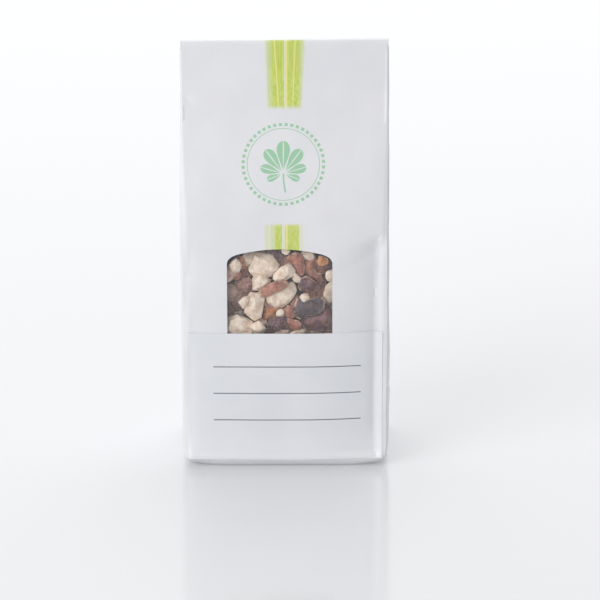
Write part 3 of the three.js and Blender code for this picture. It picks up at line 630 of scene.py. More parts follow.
class Finish:
    """A material with a Principled shader, and short ways to feed it."""

    def __init__(self, name):
        self.material = bpy.data.materials.new(name)
        self.material.use_nodes = True
        self.tree = self.material.node_tree

    def shade(self, **inputs):
        """Sets or links the shader's inputs, whose names take _ for a space. Returns the material."""
        shader = self.tree.nodes["Principled BSDF"]
        for name, value in inputs.items():
            feed(shader.inputs[name.replace("_", " ")], value)
        return self.material

    def object_point(self):
        return add_node(self.tree, "ShaderNodeTexCoord").outputs["Object"]

    def paper_point(self):
        """Where a point lies on the paper in millimetres: across from the front's middle, and up."""
        uv = add_node(self.tree, "ShaderNodeUVMap", uv_map="paper").outputs["UV"]
        split = add_node(self.tree, "ShaderNodeSeparateXYZ", {0: uv})
        return tuple(Value(split.outputs[axis]) * (1 / MM) for axis in "XY")

    def noise(self, size, detail=3.0, roughness=0.5, distortion=0.0, stretch=None):
        """Random cloud from 0 to 1 with lumps about size millimetres across."""
        point = self.object_point()
        if stretch:
            squeeze = add_node(self.tree, "ShaderNodeMapping", {"Vector": point, "Scale": stretch})
            point = squeeze.outputs[0]
        node = add_node(self.tree, "ShaderNodeTexNoise", {
            "Vector": point, "Scale": 1 / (size * MM), "Detail": detail, "Roughness": roughness,
            "Distortion": distortion,
        })
        return Value(node.outputs["Fac"])

    def scattered(self, size, output, feature="F1"):
        """An output of a pattern of cells about size millimetres apart."""
        node = add_node(self.tree, "ShaderNodeTexVoronoi", {
            "Vector": self.object_point(), "Scale": 1 / (size * MM),
        }, feature=feature)
        return node.outputs[output]

    def cells(self, size, feature="F1"):
        """Distance to the nearest of scattered points about size millimetres apart."""
        return Value(self.scattered(size, "Distance", feature))

    def channels(self, colour):
        """A colour's red, green and blue as numbers."""
        split = add_node(self.tree, "ShaderNodeSeparateColor", {0: colour})
        return tuple(Value(channel) for channel in split.outputs)

    def attribute(self, name):
        node = add_node(self.tree, "ShaderNodeAttribute", attribute_name=name)
        return self.channels(node.outputs["Color"])

    def mix(self, share, first, second):
        """One colour turning into another by a share from 0 to 1."""
        colours = {0: share, 6: first, 7: second}
        return add_node(self.tree, "ShaderNodeMix", colours, data_type="RGBA").outputs[2]

    def bump(self, height, distance, strength=1.0):
        """A relief in the surface, up to distance millimetres high."""
        return add_node(self.tree, "ShaderNodeBump", {
            "Height": height, "Distance": distance * MM, "Strength": strength,
        }).outputs["Normal"]


# Materials

def line(across, middle, reach, core):
    """A thin line: 1 within core of its middle and 0 beyond reach."""
    return abs(across - middle).fade(reach, core)


def leaflet_group():
    """A node group that draws one leaflet of a palmate leaf: 1 inside it and 0 outside."""
    tree = bpy.data.node_groups.new("Leaflet", "ShaderNodeTree")
    for name in ("Across", "Up", "Turn", "Length"):
        tree.interface.new_socket(name, in_out="INPUT", socket_type="NodeSocketFloat")
    tree.interface.new_socket("Leaflet", in_out="OUTPUT", socket_type="NodeSocketFloat")
    entry = tree.nodes.new("NodeGroupInput").outputs
    across, up, turn, length = (Value(socket) for socket in entry[:4])
    sine, cosine = turn.sine(), turn.cosine()
    along = across * sine + up * cosine
    aside = abs(across * cosine - up * sine)
    share = (along / length).most(0.0).least(1.0)
    half = share.power(1.7) * (share * -1.0 + 1.0).power(0.6) * length * 0.78
    body = (half - aside).fade(0.0, 0.22)
    rib = (aside - half * 0.06).fade(0.0, 0.2)
    add_node(tree, "NodeGroupOutput", {0: body * rib})
    return tree


def palmate_leaf(finish, across, up):
    """A seven-fingered leaf with its stalk, as a mask."""
    group = leaflet_group()
    mask = line(across, up * up * 0.012, 0.5, 0.3) * up.fade(0.2, 0.0) * up.fade(-9.5, -9.0)
    for step, length in enumerate(LEAFLETS):
        turn = LEAFLET_TURN * (step - len(LEAFLETS) // 2)
        inputs = dict(enumerate((across, up, turn, length)))
        leaflet = add_node(finish.tree, "ShaderNodeGroup", inputs, node_tree=group)
        mask = mask.most(Value(leaflet.outputs[0]))
    return mask


def ring_of_dashes(across, up, radius):
    """A plain ring of short dashes inside a thin line, as a mask."""
    far = across.hypot(up)
    beat = (across.bearing(up) * (RING_DASHES / math.tau)).remainder() - 0.5
    dash = (far - (radius - 1.5)).fade(0.0, 0.2) * (far - radius).fade(0.2, 0.0)
    return (dash * abs(beat).fade(0.3, 0.24)).most(line(far, radius - 2.6, 0.22, 0.12))


def band(across, left, right, soft):
    """A lengthwise band between two edges, which may be numbers or Values."""
    return (across - left).fade(-soft, soft) * (across - right).fade(soft, -soft)


def printed_stripes(across, up):
    """Masks of the printed stripes: their green, the threads and the gap in it, and its faint halo."""
    top, end = up_the_front(UPPER_STRIPE)
    low_top, low_end = up_the_front(LOWER_STRIPE)
    upper = up.fade(end - 1.2, end + 1.8) * up.fade(top + 1.2, top - 0.4)
    lower = up.fade(low_top + 0.6, low_top - 1.6) * up.fade(low_end, low_end + 1)
    drawn_in = (up - top) * (1 / (top - end))
    left, right = (drawn_in * slope + edge for edge, slope in STRIPE_EDGES)
    green = band(across, left, right, 0.8) * 0.62 + band(across, left + 2.2, right - 1.5, 1.0) * 0.36
    low_left = band(across, *LOW_LEFT_BAND, 0.5) * 0.45 + band(across, *LOW_LEFT_CORE, 0.4) * 0.5
    low_right = band(across, *LOW_RIGHT_BAND, 0.5) * 0.92
    green = (green * upper).most(low_left * lower).most(low_right * lower)
    threads = line(across, MIDDLE_THREAD, 0.6, 0.25) * 0.9
    for edge, slope, reach in UPPER_THREADS:
        threads = threads.most(line(across, drawn_in * slope + edge, reach, 0.15) * upper * 0.8)
    gap = (line(across, 0.15, 0.5, 0.2) * upper).most(line(across, -0.65, 0.8, 0.45) * lower)
    low_edges = line(across, 8.2, 0.45, 0.15).most(line(across, -8.6, 1.1, 0.5))
    halo = (band(across, -9.6, 9.4, 2.2) * 0.2 + low_edges * 0.28) * lower
    halo = halo + band(across, left - 0.9, right + 0.9, 1.6) * upper * 0.14
    return green, threads, gap, halo


def printed_paper(settings):
    """Coated white bag paper with its lengthwise stripes and a plain leaf emblem."""
    finish = Finish("white coated paper")
    across, up = finish.paper_point()
    green, threads, gap, halo = printed_stripes(across, up)
    streaks = finish.noise(0.9, detail=2, stretch=(1, 1, 0.03)).fade(0.25, 0.8)
    worn = finish.noise(0.6, detail=3, roughness=0.6, stretch=(1, 1, 0.02)).fade(0.45, 0.75) * 0.28
    cloud = finish.noise(26, detail=4).fade(0.3, 0.7)
    stripe = finish.mix(streaks, settings.stripe_dark, settings.stripe_light)
    stripe = finish.mix(threads, stripe, settings.stripe_yellow)
    colour = finish.mix(cloud, settings.paper_shade, settings.paper_colour)
    colour = finish.mix(halo, colour, settings.stripe_light)
    colour = finish.mix(green * (gap * -0.9 + 1.0) * (worn * -1.0 + 1.0), colour, stripe)
    centre = float(up_the_front(settings.emblem_height))
    leaf = palmate_leaf(finish, across + EMBLEM_SHIFT, up - (centre - 4.5))
    ring = ring_of_dashes(across + EMBLEM_SHIFT, up - centre, settings.emblem_radius)
    fibre = finish.noise(0.5, detail=4, roughness=0.6) * 0.35 + finish.noise(3.4, detail=3) * 0.9
    return finish.shade(
        Base_Color=finish.mix(leaf.most(ring) * 0.8, colour, settings.emblem_colour),
        Roughness=finish.noise(9, detail=2).fade(0.2, 0.8) * 0.1 + 0.4,
        Specular_IOR_Level=0.5, Sheen_Weight=0.06, Normal=finish.bump(fibre, 0.16, 0.5),
    )


def plain_paper(settings):
    """The same paper where it is not printed: the folded plies and the base."""
    finish = Finish("plain white paper")
    cloud = finish.noise(18, detail=4).fade(0.3, 0.7)
    fibre = finish.noise(0.5, detail=4, roughness=0.6)
    return finish.shade(
        Base_Color=finish.mix(cloud, settings.paper_shade, settings.paper_colour),
        Roughness=0.55, Normal=finish.bump(fibre, 0.08, 0.5),
    )


def label_paper(settings):
    """Bluish white label stock with a fine smooth gloss and three plain ruled lines to write on, painted
    lighter towards its foot in place of light bounced up from the floor.
    """
    finish = Finish("semi-gloss label")
    across, up = finish.paper_point()
    cloud = finish.noise(30, detail=3).fade(0.3, 0.7)
    colour = finish.mix(cloud, settings.label_shade, settings.label_colour)
    # Painted light: the label turns lighter towards its foot, standing in for light bounced up from the
    # floor.
    colour = finish.mix(up.fade(26, 8) * 0.5, colour, settings.label_foot_painted_light)
    for number in range(RULES):
        height = float(up_the_front(settings.first_rule - number * settings.rule_gap))
        rule = line(up, height, 0.32, 0.18) * line(across, 1.0, 36.2, 35.8)
        colour = finish.mix(rule * 0.85, colour, settings.rule_colour)
    grain = finish.noise(0.7, detail=3) * 0.3 + finish.noise(6, detail=2)
    gloss = finish.noise(12, detail=2).fade(0.2, 0.8) * 0.08 + 0.3
    return finish.shade(
        Base_Color=colour, Roughness=gloss, Specular_IOR_Level=0.5,
        Normal=finish.bump(grain, 0.12, 0.5),
    )


def clear_film():
    """Thin clear film: mostly see-through, faintly milky, with a soft gloss."""
    finish = Finish("clear film")
    ripple = finish.noise(7, detail=2)
    return finish.shade(
        Base_Color=(0.9, 0.9, 0.92), Alpha=0.045, Roughness=0.1, Specular_IOR_Level=0.6,
        Normal=finish.bump(ripple, 0.5, 0.6),
    )


def kernel_finish(name, pale, shade, stain_and_shade):
    """Dry broken kernel: chalky, with faint grain, tan shading, traces of inner skin and painted shade
    in the hollows of its break.
    """
    finish = Finish(name)
    _, _, hollow = finish.attribute("wear")
    cloud = finish.noise(3.2, detail=5, roughness=0.62).fade(0.4, 0.62)
    grain = finish.noise(1.0, detail=4, roughness=0.65).fade(0.4, 0.66)
    patch = finish.noise(6.5, detail=6, roughness=0.62, distortion=0.6).fade(0.63, 0.7)
    veins = finish.cells(3.4, "DISTANCE_TO_EDGE").fade(0.05, 0.0)
    veins = veins * finish.noise(5, detail=2).fade(0.4, 0.6)
    colour = finish.mix(cloud, pale, shade)
    colour = finish.mix(grain * 0.4, colour, shade)
    # Patches and veins are stains. The hollows of the break take the same brown as painted shade.
    for stain_and_shade_share in (patch * 0.45, hollow * 0.32, veins * 0.45):
        colour = finish.mix(stain_and_shade_share, colour, stain_and_shade)
    pores = finish.noise(1.8, detail=6, roughness=0.7) * 1.6 + finish.cells(0.8) * 0.35
    return finish.shade(
        Base_Color=colour, Roughness=0.82, Specular_IOR_Level=0.3, Subsurface_Weight=0.05,
        Subsurface_Scale=0.001, Normal=finish.bump(pores, 0.42, 0.8),
    )


def skin_finish(name, outer, bloom, patch, inner):
    """Dried seed coat: low sheen outside with a pale bloom, fibrous inside, a pale broken rim that also
    serves as a painted highlight, and painted shade in the hollows of its break.
    """
    finish = Finish(name)
    rim, inside, hollow = finish.attribute("wear")
    cloud = finish.noise(3.2, detail=6, roughness=0.66, distortion=0.4).fade(0.4, 0.66)
    patches = finish.noise(5.5, detail=4, roughness=0.58, distortion=0.8).fade(0.47, 0.57)
    fibres = finish.noise(1.0, detail=5, stretch=(1, 1, 0.22)).fade(0.3, 0.72)
    specks = finish.noise(1.1, detail=4, roughness=0.7).fade(0.54, 0.64)
    chipped = finish.noise(2.4, detail=3).fade(0.4, 0.6)
    # Painted shade: a darker copy of the outside colour, mixed into the hollows of the break.
    dark = tuple(channel * 0.4 for channel in outer)
    colour = outer
    for share, layer in (
        (patches * 0.8, patch), (cloud * 0.85, bloom), (inside * (fibres * 0.5 + 0.5), inner),
        (specks * 0.6, bloom), (hollow * 0.6, dark), (rim * chipped * 0.9, srgb(*BROKEN_RIM_AND_HIGHLIGHT)),
    ):
        colour = finish.mix(share, colour, layer)
    gloss = cloud * 0.2 + inside * 0.2 + 0.34
    wrinkle = finish.noise(2.1, detail=6, roughness=0.6, stretch=(1, 1, 0.55)) + fibres * 0.3
    return finish.shade(
        Base_Color=colour, Roughness=gloss, Specular_IOR_Level=0.45,
        Normal=finish.bump(wrinkle, 0.7, 0.9),
    )


def seed_look(tint):
    """The material of one tint of chopped seed, made when it is first asked for."""
    if tint in bpy.data.materials:
        return bpy.data.materials[tint]
    kind, *colours = SEED_LOOKS[tint]
    make = kernel_finish if kind == "kernel" else skin_finish
    return make(tint, *(srgb(*colour) for colour in colours))


# Settings

def number_setting(name, default, description, **limits):
    return FloatProperty(name=name, default=default, description=description, **{"min": 0, **limits})


def colour_setting(name, default, description):
    return FloatVectorProperty(
        name=name, default=srgb(*default), description=description, subtype="COLOR", size=3,
        min=0, max=1,
    )


class PACKET_PaperSettings(PropertyGroup):
    """Paper, print and label."""

    thickness: number_setting("Paper thickness", 0.22, "Thickness of the bag paper in mm", max=0.4)
    paper_colour: colour_setting("Paper", (230, 230, 233), "Colour of the bag paper")
    paper_shade: colour_setting("Paper shade", (225, 225, 229), "Its slightly darker clouding")
    stripe_dark: colour_setting("Stripe dark", (182, 202, 74), "Deeper green of the stripes")
    stripe_light: colour_setting("Stripe light", (210, 219, 108), "Lighter green of the stripes")
    stripe_yellow: colour_setting("Stripe thread", (238, 230, 142), "Thin lines in the stripes")
    emblem_colour: colour_setting("Emblem", (134, 198, 148), "Colour of the leaf emblem")
    emblem_height: number_setting("Emblem height", 149.9, "Height of the emblem's middle in mm")
    emblem_radius: number_setting("Emblem radius", 20.1, "Outer radius of its ring in mm")
    label_colour: colour_setting("Label", (229, 230, 234), "Colour of the label")
    label_shade: colour_setting("Label shade", (224, 226, 231), "Its slightly darker clouding")
    # Painted light: a lighter tone towards the label's foot, in place of light bounced up from the
    # floor.
    label_foot_painted_light: colour_setting("Label foot", (246, 247, 250), "Its lighter tone towards the ground")
    rule_colour: colour_setting("Rules", (70, 72, 78), "Colour of the label's ruled lines")
    first_rule: number_setting("First rule", 52, "Height of the top ruled line in mm")
    rule_gap: number_setting("Rule gap", 13.5, "Distance between the ruled lines in mm")


class PACKET_SeedSettings(PropertyGroup):
    """Chopped seed."""

    kernel_grain: number_setting("Kernel detail", 0.36, "Size of the finest kernel faces in mm", min=0.2)
    skin_grain: number_setting("Skin detail", 0.27, "Size of the finest skin faces in mm", min=0.2)
    crumbs: number_setting("Crumbs", 5.5, "Loose crumbs per cubic centimetre behind the window")
    crumb_seed: IntProperty(name="Crumb seed", description="Arrangement of the crumbs", default=4, min=0)


class PACKET_StageSettings(PropertyGroup):
    """Camera, floor and light."""

    elevation: number_setting(
        "Camera elevation", math.radians(17), "Angle of the view above the horizon", subtype="ANGLE",
    )
    distance: number_setting(
        "Camera distance", 1.75, "From the packet's front to the camera", unit="LENGTH",
    )
    frame_width: number_setting(
        "Width in view", 0.2909, "Width that the picture spans at the packet's front", unit="LENGTH",
    )
    floor_colour: colour_setting("Floor", (194, 195, 197), "Colour of the floor")
    floor_light: number_setting("Floor light", 0.17, "Light that comes up through the white floor")
    room_light: number_setting("Room light", 0.5, "Strength of the even light all round")
    cove_light: number_setting("Cove light", 1.22, "Strength of the light low behind the packet")
    light_power: number_setting("Soft box", 21.6, "Soft box at the front left", unit="POWER")
    back_power: number_setting("Back soft box", 21, "Soft box over the floor behind", unit="POWER")


# Operators

def fold_path(front, inset, ends, turns, spacing):
    """A ply's path over the top as (y, z): up the front, round an arc and down the back.

    The ends are the heights where it starts, where it is highest and where it stops.
    """
    start, top, stop = ends
    back = float(lean(BAG_TOP) + half_depth(BAG_TOP)) + FOLD_PLIES - inset
    radius = (back - front) / 2
    spring = top - radius
    path = [(front, z) for z in np.linspace(start, spring, 5)]
    for angle in np.linspace(math.pi, 0, turns)[1:]:
        path.append((front + radius * (1 + math.cos(angle)), spring + radius * math.sin(angle)))
    for z in np.arange(spring - spacing, stop, -spacing):
        path.append((float(lean(z) + half_depth(z)) + FOLD_PLIES - inset, z))
    return np.array(path)


class PACKET_OT_paper_bag(Operator):
    """Build the bag's paper with its gussets, creases, window opening and folded top"""

    bl_idname = "packet.paper_bag"
    bl_label = "Paper bag"

    def execute(self, context):
        settings = context.scene.packet_paper
        steady = np.arange(STEADY_ROWS_FROM, TUBE_TOP, ROW_STEP)
        heights = np.concatenate([FOOT_ROWS, steady, [TUBE_TOP]])
        x, y = outline_rows(heights)
        across = paper_lengths(x, y)
        points = np.stack([x, y, np.repeat(heights[:, None], x.shape[1], axis=1)], axis=2)
        middle = across.shape[1] // 2
        first, last = middle - FRONT_COLUMNS // 2, middle + FRONT_COLUMNS // 2
        keep = self.cut_window(points, across, first, last)
        fold_row = int(np.searchsorted(heights, FOLD_START))
        keep[fold_row:, first:last] = False
        relief = paper_relief(across, points[:, :, 2])
        points = points + grid_normals(points) * relief[:, :, None]
        points[:, -1] = points[:, 0]
        points[0, :, 2] = 0
        uvs = grid_uvs(across, up_the_front(points[:, :, 2]))
        points[:, :, 2] += self.settle(points)
        bm = bmesh.new()
        add_grid(bm, points, uvs, keep)
        front = slice(first, last + 1)
        add_grid(bm, *self.folded_strip(points[fold_row, front], uvs[fold_row, front]))
        self.close_base(bm, points[0, :-1])
        bag = thicken(finish_mesh(bm, "paper_bag_sheet"), settings.thickness)
        place(bag, "white_paper", printed_paper(settings), "paper_bag")
        return {"FINISHED"}

    def settle(self, points):
        """How much the lower corners lift off the table and the top edge climbs to the right."""
        x, y, z = np.moveaxis(points, 2, 0)
        corner = fade(np.abs(x), 30, 51) * fade(np.abs(y), 8, 30)
        return CORNER_LIFT * corner * fade(14 - z, 0, 14) + TOP_SLOPE * x * fade(z, 120, 208)

    def cut_window(self, points, across, first, last):
        """Leaves out the faces in the window and draws the ones round it onto its edge."""
        outline = window_outline()
        rows, columns = points.shape[:2]
        keep = np.ones((rows - 1, columns - 1), bool)
        centre = (points[:-1, :-1] + points[1:, 1:]) / 2
        front = slice(first, last)
        keep[:, front] = ~inside_outline(centre[:, front, 0], centre[:, front, 2], outline)
        touching = np.zeros((rows, columns), int)
        for dr in (0, 1):
            for dc in (0, 1):
                touching[dr:rows - 1 + dr, dc:columns - 1 + dc] += keep
        edge = (touching > 0) & (touching < 4)
        edge[[0, -1]] = False
        edge[:, :first], edge[:, last:] = False, False
        for r, c in zip(*np.nonzero(edge)):
            x, z = outline[np.argmin(((outline - points[r, c, [0, 2]]) ** 2).sum(axis=1))]
            share = x / (half_width(z) - corner_radius(z))
            points[r, c] = (x, lean(z) - half_depth(z) - panel_crown(z) * (1 - share**4), z)
            across[r, c] = x
        return keep

    def folded_strip(self, edge, edge_uvs):
        """The front panel carried over the top in a tight arc and down the back."""
        front = edge[:, 1].mean()
        top = BAG_TOP - TOP_SLOPE * FOLD_HALF_WIDTH
        path = fold_path(front, 0, (edge[:, 2].mean(), top, BAG_TOP - FOLD_STRIP - 0.1), 13, 1.3)[1:]
        walked = np.concatenate([[0], np.cumsum(np.hypot(*np.diff(path, axis=0).T))])
        share = np.linspace(-1, 1, len(edge))
        settle = fade(walked, 0, 5)[:, None]
        x = edge[None, :, 0] * (1 - settle) + share[None, :] * FOLD_HALF_WIDTH * settle
        spare = (edge[:, 1] - front)[None, :] * (1 - settle)
        wave = 0.22 * soft_noise(x, walked[:, None], 21, 12) * fade(walked, 7, 16)[:, None]
        ragged = 0.25 * soft_noise(x, x * 0, 9, 13) * fade(walked, walked[-1] - 3, walked[-1])[:, None]
        y = path[:, 0][:, None] + spare + wave
        z = path[:, 1][:, None] + ragged + TOP_SLOPE * x * settle
        points = np.concatenate([edge[None], np.stack([x, y, z], axis=2)])
        start = edge_uvs[:, 1].mean()
        climbed = np.concatenate([[start], start + 1.2 + walked])
        return points, grid_uvs(points[:, :, 0], climbed[:, None])

    def close_base(self, bm, ring):
        """Closes the bag's underside, drawn up a little inside its edge."""
        centre = np.array([0, 0, BASE_RISE[-1]])
        inner = [ring + (centre - ring) * share for share in BASE_RINGS]
        for loop, share, height in zip(inner, BASE_RINGS, BASE_RISE):
            loop[:, 2] = np.maximum(ring[:, 2] * max(0, 1 - 4 * share), height)
        points = np.array([np.vstack([loop, loop[:1]]) for loop in reversed(inner)])
        add_grid(bm, points, grid_uvs(UNPRINTED + points[:, :, 0] * 0, points[:, :, 2]))
        middle = bm.verts.new(centre * MM)
        last = [bm.verts.new(p * MM) for p in inner[-1]]
        for a, b in zip(last, last[1:] + last[:1]):
            bm.faces.new((b, a, middle)).smooth = True


class PACKET_OT_fold_plies(Operator):
    """Lay the folded top's inner plies inside its strip, so that its ends show their layers"""

    bl_idname = "packet.fold_plies"
    bl_label = "Fold plies"

    def execute(self, context):
        settings = context.scene.packet_paper
        bm = bmesh.new()
        x = np.linspace(0.5 - FOLD_HALF_WIDTH, FOLD_HALF_WIDTH - 0.5, 40)
        for ply in range(1, 4):
            inset = ply * FOLD_PLIES / 4.4
            front = float(lean(FOLD_START) - half_depth(FOLD_START)) + inset
            ends = (FOLD_START - 2, BAG_TOP - inset, BAG_TOP - FOLD_STRIP + 0.3 * ply)
            path = fold_path(front, inset, ends, 9, 3)
            y = path[:, 0][:, None] + 0.06 * soft_noise(x[None, :], path[:, 1][:, None], 15, 20 + ply)
            z = np.repeat(path[:, 1][:, None], len(x), axis=1)
            z = z + TOP_SLOPE * (x - FOLD_HALF_WIDTH)[None, :] * fade(z, 150, 205)
            points = np.stack([np.broadcast_to(x - 0.15 * ply * np.sign(x), z.shape), y, z], axis=2)
            add_grid(bm, points, grid_uvs(x[None, :], z))
        plies = thicken(finish_mesh(bm, "fold_plies"), settings.thickness)
        place(plies, "white_paper", plain_paper(settings))
        return {"FINISHED"}


class PACKET_OT_base_flaps(Operator):
    """Fold the glued flaps of the block bottom under the bag"""

    bl_idname = "packet.base_flaps"
    bl_label = "Base flaps"

    def execute(self, context):
        bm = bmesh.new()
        for corners, height in BASE_FLAPS:
            face = bm.faces.new([bm.verts.new(Vector((*corner, height)) * MM) for corner in corners])
            face.normal_update()
            if face.normal.z > 0:
                face.normal_flip()
        bmesh.ops.subdivide_edges(bm, edges=bm.edges, cuts=4)
        mesh = bpy.data.meshes.new("base_flaps")
        bm.to_mesh(mesh)
        bm.free()
        flaps = link("base_flaps", mesh)
        flaps.modifiers.new("Thickness", "SOLIDIFY").thickness = FLAP_THICKNESS * MM
        apply_modifiers(flaps)
        place(flaps, "white_paper", plain_paper(context.scene.packet_paper))
        return {"FINISHED"}


class PACKET_OT_window_film(Operator):
    """Stretch the clear film behind the window"""

    bl_idname = "packet.window_film"
    bl_label = "Window film"

    def execute(self, context):
        reach = WINDOW["width"] / 2 + FILM_MARGIN
        across = np.linspace(WINDOW["x"] - reach, WINDOW["x"] + reach, 70)
        heights = np.linspace(WINDOW["bottom"] - FILM_MARGIN, WINDOW["top"] + FILM_MARGIN, 80)
        points = paper_sheet(across, heights, -FILM_SINK, follow=0.8)
        points[:, :, 1] += 0.1 * soft_noise(*np.meshgrid(across, heights), 8, 31)
        bm = bmesh.new()
        add_grid(bm, points, grid_uvs(across[None, :], heights[:, None]))
        film = thicken(finish_mesh(bm, "window_film_sheet"), FILM_THICKNESS)
        place(film, "clear_film", clear_film(), "window_film")
        return {"FINISHED"}


class PACKET_OT_front_label(Operator):
    """Lay the label over the bag's lower front, round both of its edges"""

    bl_idname = "packet.front_label"
    bl_label = "Front label"

    def execute(self, context):
        across = np.linspace(-LABEL_HALF, LABEL_HALF, 110)
        heights = np.linspace(LABEL_BOTTOM, LABEL_TOP, 72)
        from_side = LABEL_HALF - np.abs(across)[None, :]
        from_end = np.minimum(heights - LABEL_BOTTOM, LABEL_TOP - heights)[:, None]
        curl = LABEL_CURL * (1 - fade(from_side, 0, 5)) * (1 - fade(from_end, 0, 6))
        points = paper_sheet(across, heights, LABEL_LIFT + curl)
        bm = bmesh.new()
        add_grid(bm, points, grid_uvs(across[None, :], up_the_front(heights)[:, None]))
        label = thicken(finish_mesh(bm, "front_label_sheet"), LABEL_THICKNESS)
        place(label, "label_paper", label_paper(context.scene.packet_paper), "front_label")
        return {"FINISHED"}


def break_faces(points, name, faces):
    """Cuts a lump to flat breaks: a broad one to the window, some round it and some on its rim."""
    random = np.random.default_rng(hash_of(name))
    centre = points.mean(axis=0)
    start = random.uniform(0, math.tau)
    cuts = [(random.uniform(*FRONT_BREAK[0]), start, random.uniform(*FRONT_BREAK[1]))]
    for tilts, shares in SIDE_BREAKS:
        for number in range(faces):
            bearing = start + math.tau * (number + random.uniform(-0.35, 0.35)) / faces
            cuts.append((random.uniform(*tilts), bearing, random.uniform(*shares)))
    for tilt, bearing, share in cuts:
        across, up = math.sin(tilt) * math.cos(bearing), math.sin(tilt) * math.sin(bearing)
        face = np.array([across, -math.cos(tilt), up])
        reach = (points - centre) @ face
        over = np.maximum(reach - reach.max() * share, 0)
        points = points - over[:, None] * face
    return points


def spread(points, swell, steep):
    """Spreads a piece across the window by swell all round, and its front by a further share."""
    middle = (points.min(axis=0) + points.max(axis=0)) / 2
    half = (points.max(axis=0) - points.min(axis=0)) / 2
    forward = np.clip((middle[1] - points[:, 1]) / half[1], 0, 1)
    for axis in (0, 2):
        wider = 1 + swell * MM / half[axis] + steep * forward
        points[:, axis] = middle[axis] + (points[:, axis] - middle[axis]) * wider
    return points


def drawn_nearer(points):
    """Brings a piece that lies deep behind the film nearer to it, along the line of sight."""
    deep = points[:, 1].min() / MM - FILM_FACE
    nearer = min(max(deep - DEEP_FROM, 0) * DEEP_SHARE, DEEP_MOST)
    return points + np.array([0, -nearer, nearer * SIGHT_SLOPE]) * MM


def remeshed(node, grain, smooth):
    """A fine even copy of a chopped piece from the frame."""
    piece = link(f"{node}_broken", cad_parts[node].data.copy())
    bm = bmesh.new()
    bm.from_mesh(piece.data)
    bmesh.ops.remove_doubles(bm, verts=bm.verts, dist=1e-6)
    bm.to_mesh(piece.data)
    bm.free()
    remesh = piece.modifiers.new("Grain", "REMESH")
    remesh.mode = "VOXEL"
    remesh.voxel_size = grain * MM
    soften = piece.modifiers.new("Soften", "SMOOTH")
    soften.factor = 0.5
    soften.iterations = smooth
    return apply_modifiers(piece)


def broken_piece(node, grain, smooth, depth, swell=0.0, steep=0.0, faces=0):
    """A fine copy of a chopped piece with the hollows and sharp ridges of a dry break.

    Also returns how proud of the smooth lump each of its points stands, from about -1 to 1.
    """
    piece = remeshed(node, grain, smooth)
    mesh = piece.data
    points = np.array([v.co for v in mesh.vertices])
    if swell:
        points = drawn_nearer(spread(points, swell, steep))
    if faces:
        points = break_faces(points, node, faces)
    mesh.vertices.foreach_set("co", points.ravel())
    mesh.update()
    mesh.shade_smooth()
    start = Vector((hash_of(node) * 7.3, hash_of(node) * 3.1, 0))
    proud = []
    for vertex, normal in zip(mesh.vertices, [n.vector.copy() for n in mesh.vertex_normals]):
        at = vertex.co / MM + start
        warp = at + noise.noise_vector(at / 3) * 0.8
        ridge = noise.voronoi(warp / RIDGE_SIZE)[0][0] - 0.5
        lump = sum(noise.noise(at / size) * height for size, height in LUMPS)
        proud.append(ridge * RIDGE_HEIGHT + lump)
        vertex.co += normal * proud[-1] * depth * MM
    mesh.update()
    return piece, np.array(proud)


def hash_of(name):
    """A steady small number for a name."""
    return sum((i + 1) * ord(letter) for i, letter in enumerate(name)) % 97


def mark_breaks_and_painted_light(piece, proud, skin):
    """Stores a piece's outer rim (a pale broken edge and painted highlight), its inner face and the
    hollows of its break (painted shade), as a colour on its points.
    """
    mesh = piece.data
    values = np.zeros((len(mesh.vertices), 4))
    # Where the break sinks, for painted shade in its hollows.
    values[:, 2] = fade(-proud, -0.2, 0.7)
    values[:, 3] = 1
    if skin:
        points = np.array([v.co for v in mesh.vertices])
        normals = np.array([n.vector for n in mesh.vertex_normals])
        offset = points - points.mean(axis=0)
        reach = np.hypot(offset[:, 0], offset[:, 2])
        near, far = reach < np.quantile(reach, 0.3), reach > np.quantile(reach, 0.75)
        bows_forward = points[far, 1].mean() > points[near, 1].mean()
        turn = np.arctan2(offset[:, 2], offset[:, 0]) / math.tau + 0.5
        sector = (turn * RIM_SECTORS).astype(int) % RIM_SECTORS
        outermost = np.zeros(RIM_SECTORS)
        np.maximum.at(outermost, sector, reach)
        # The outer rim as seen from the front, for a pale broken edge that is also a painted highlight.
        values[:, 0] = fade(reach / outermost[sector], 0.83, 0.93)
        values[:, 1] = fade(normals[:, 1] if bows_forward else -normals[:, 1], 0.15, 0.5)
    layer = mesh.color_attributes.new("wear", "FLOAT_COLOR", "POINT")
    layer.data.foreach_set("color", values.ravel())


class PACKET_OT_kernels(Operator):
    """Roughen each chunk of kernel behind the window"""

    bl_idname = "packet.kernels"
    bl_label = "Kernel chunks"

    def execute(self, context):
        grain = context.scene.packet_seed.kernel_grain
        for node in sorted(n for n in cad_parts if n.startswith("kernel_chunk")):
            piece, proud = broken_piece(node, grain, **KERNEL_BREAK)
            mark_breaks_and_painted_light(piece, proud, skin=False)
            tint = "pink" if int(node[-2:]) in PINK_KERNELS else "cream"
            place(piece, "kernel", seed_look(tint), node)
        return {"FINISHED"}


class PACKET_OT_skins(Operator):
    """Roughen each flake of seed coat behind the window"""

    bl_idname = "packet.skins"
    bl_label = "Skin flakes"

    def execute(self, context):
        grain = context.scene.packet_seed.skin_grain
        tints = {(kind, n): tint for tint, (kind, *numbers) in SKIN_TINTS.items() for n in numbers}
        for node in sorted(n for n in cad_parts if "skin_flake" in n):
            piece, proud = broken_piece(node, grain, **SKIN_BREAK)
            mark_breaks_and_painted_light(piece, proud, skin=True)
            kind = node.split("_")[0]
            tint = tints.get((kind, int(node[-2:])), REST_TINT[kind])
            place(piece, f"{kind}_skin", seed_look(tint), node)
        return {"FINISHED"}


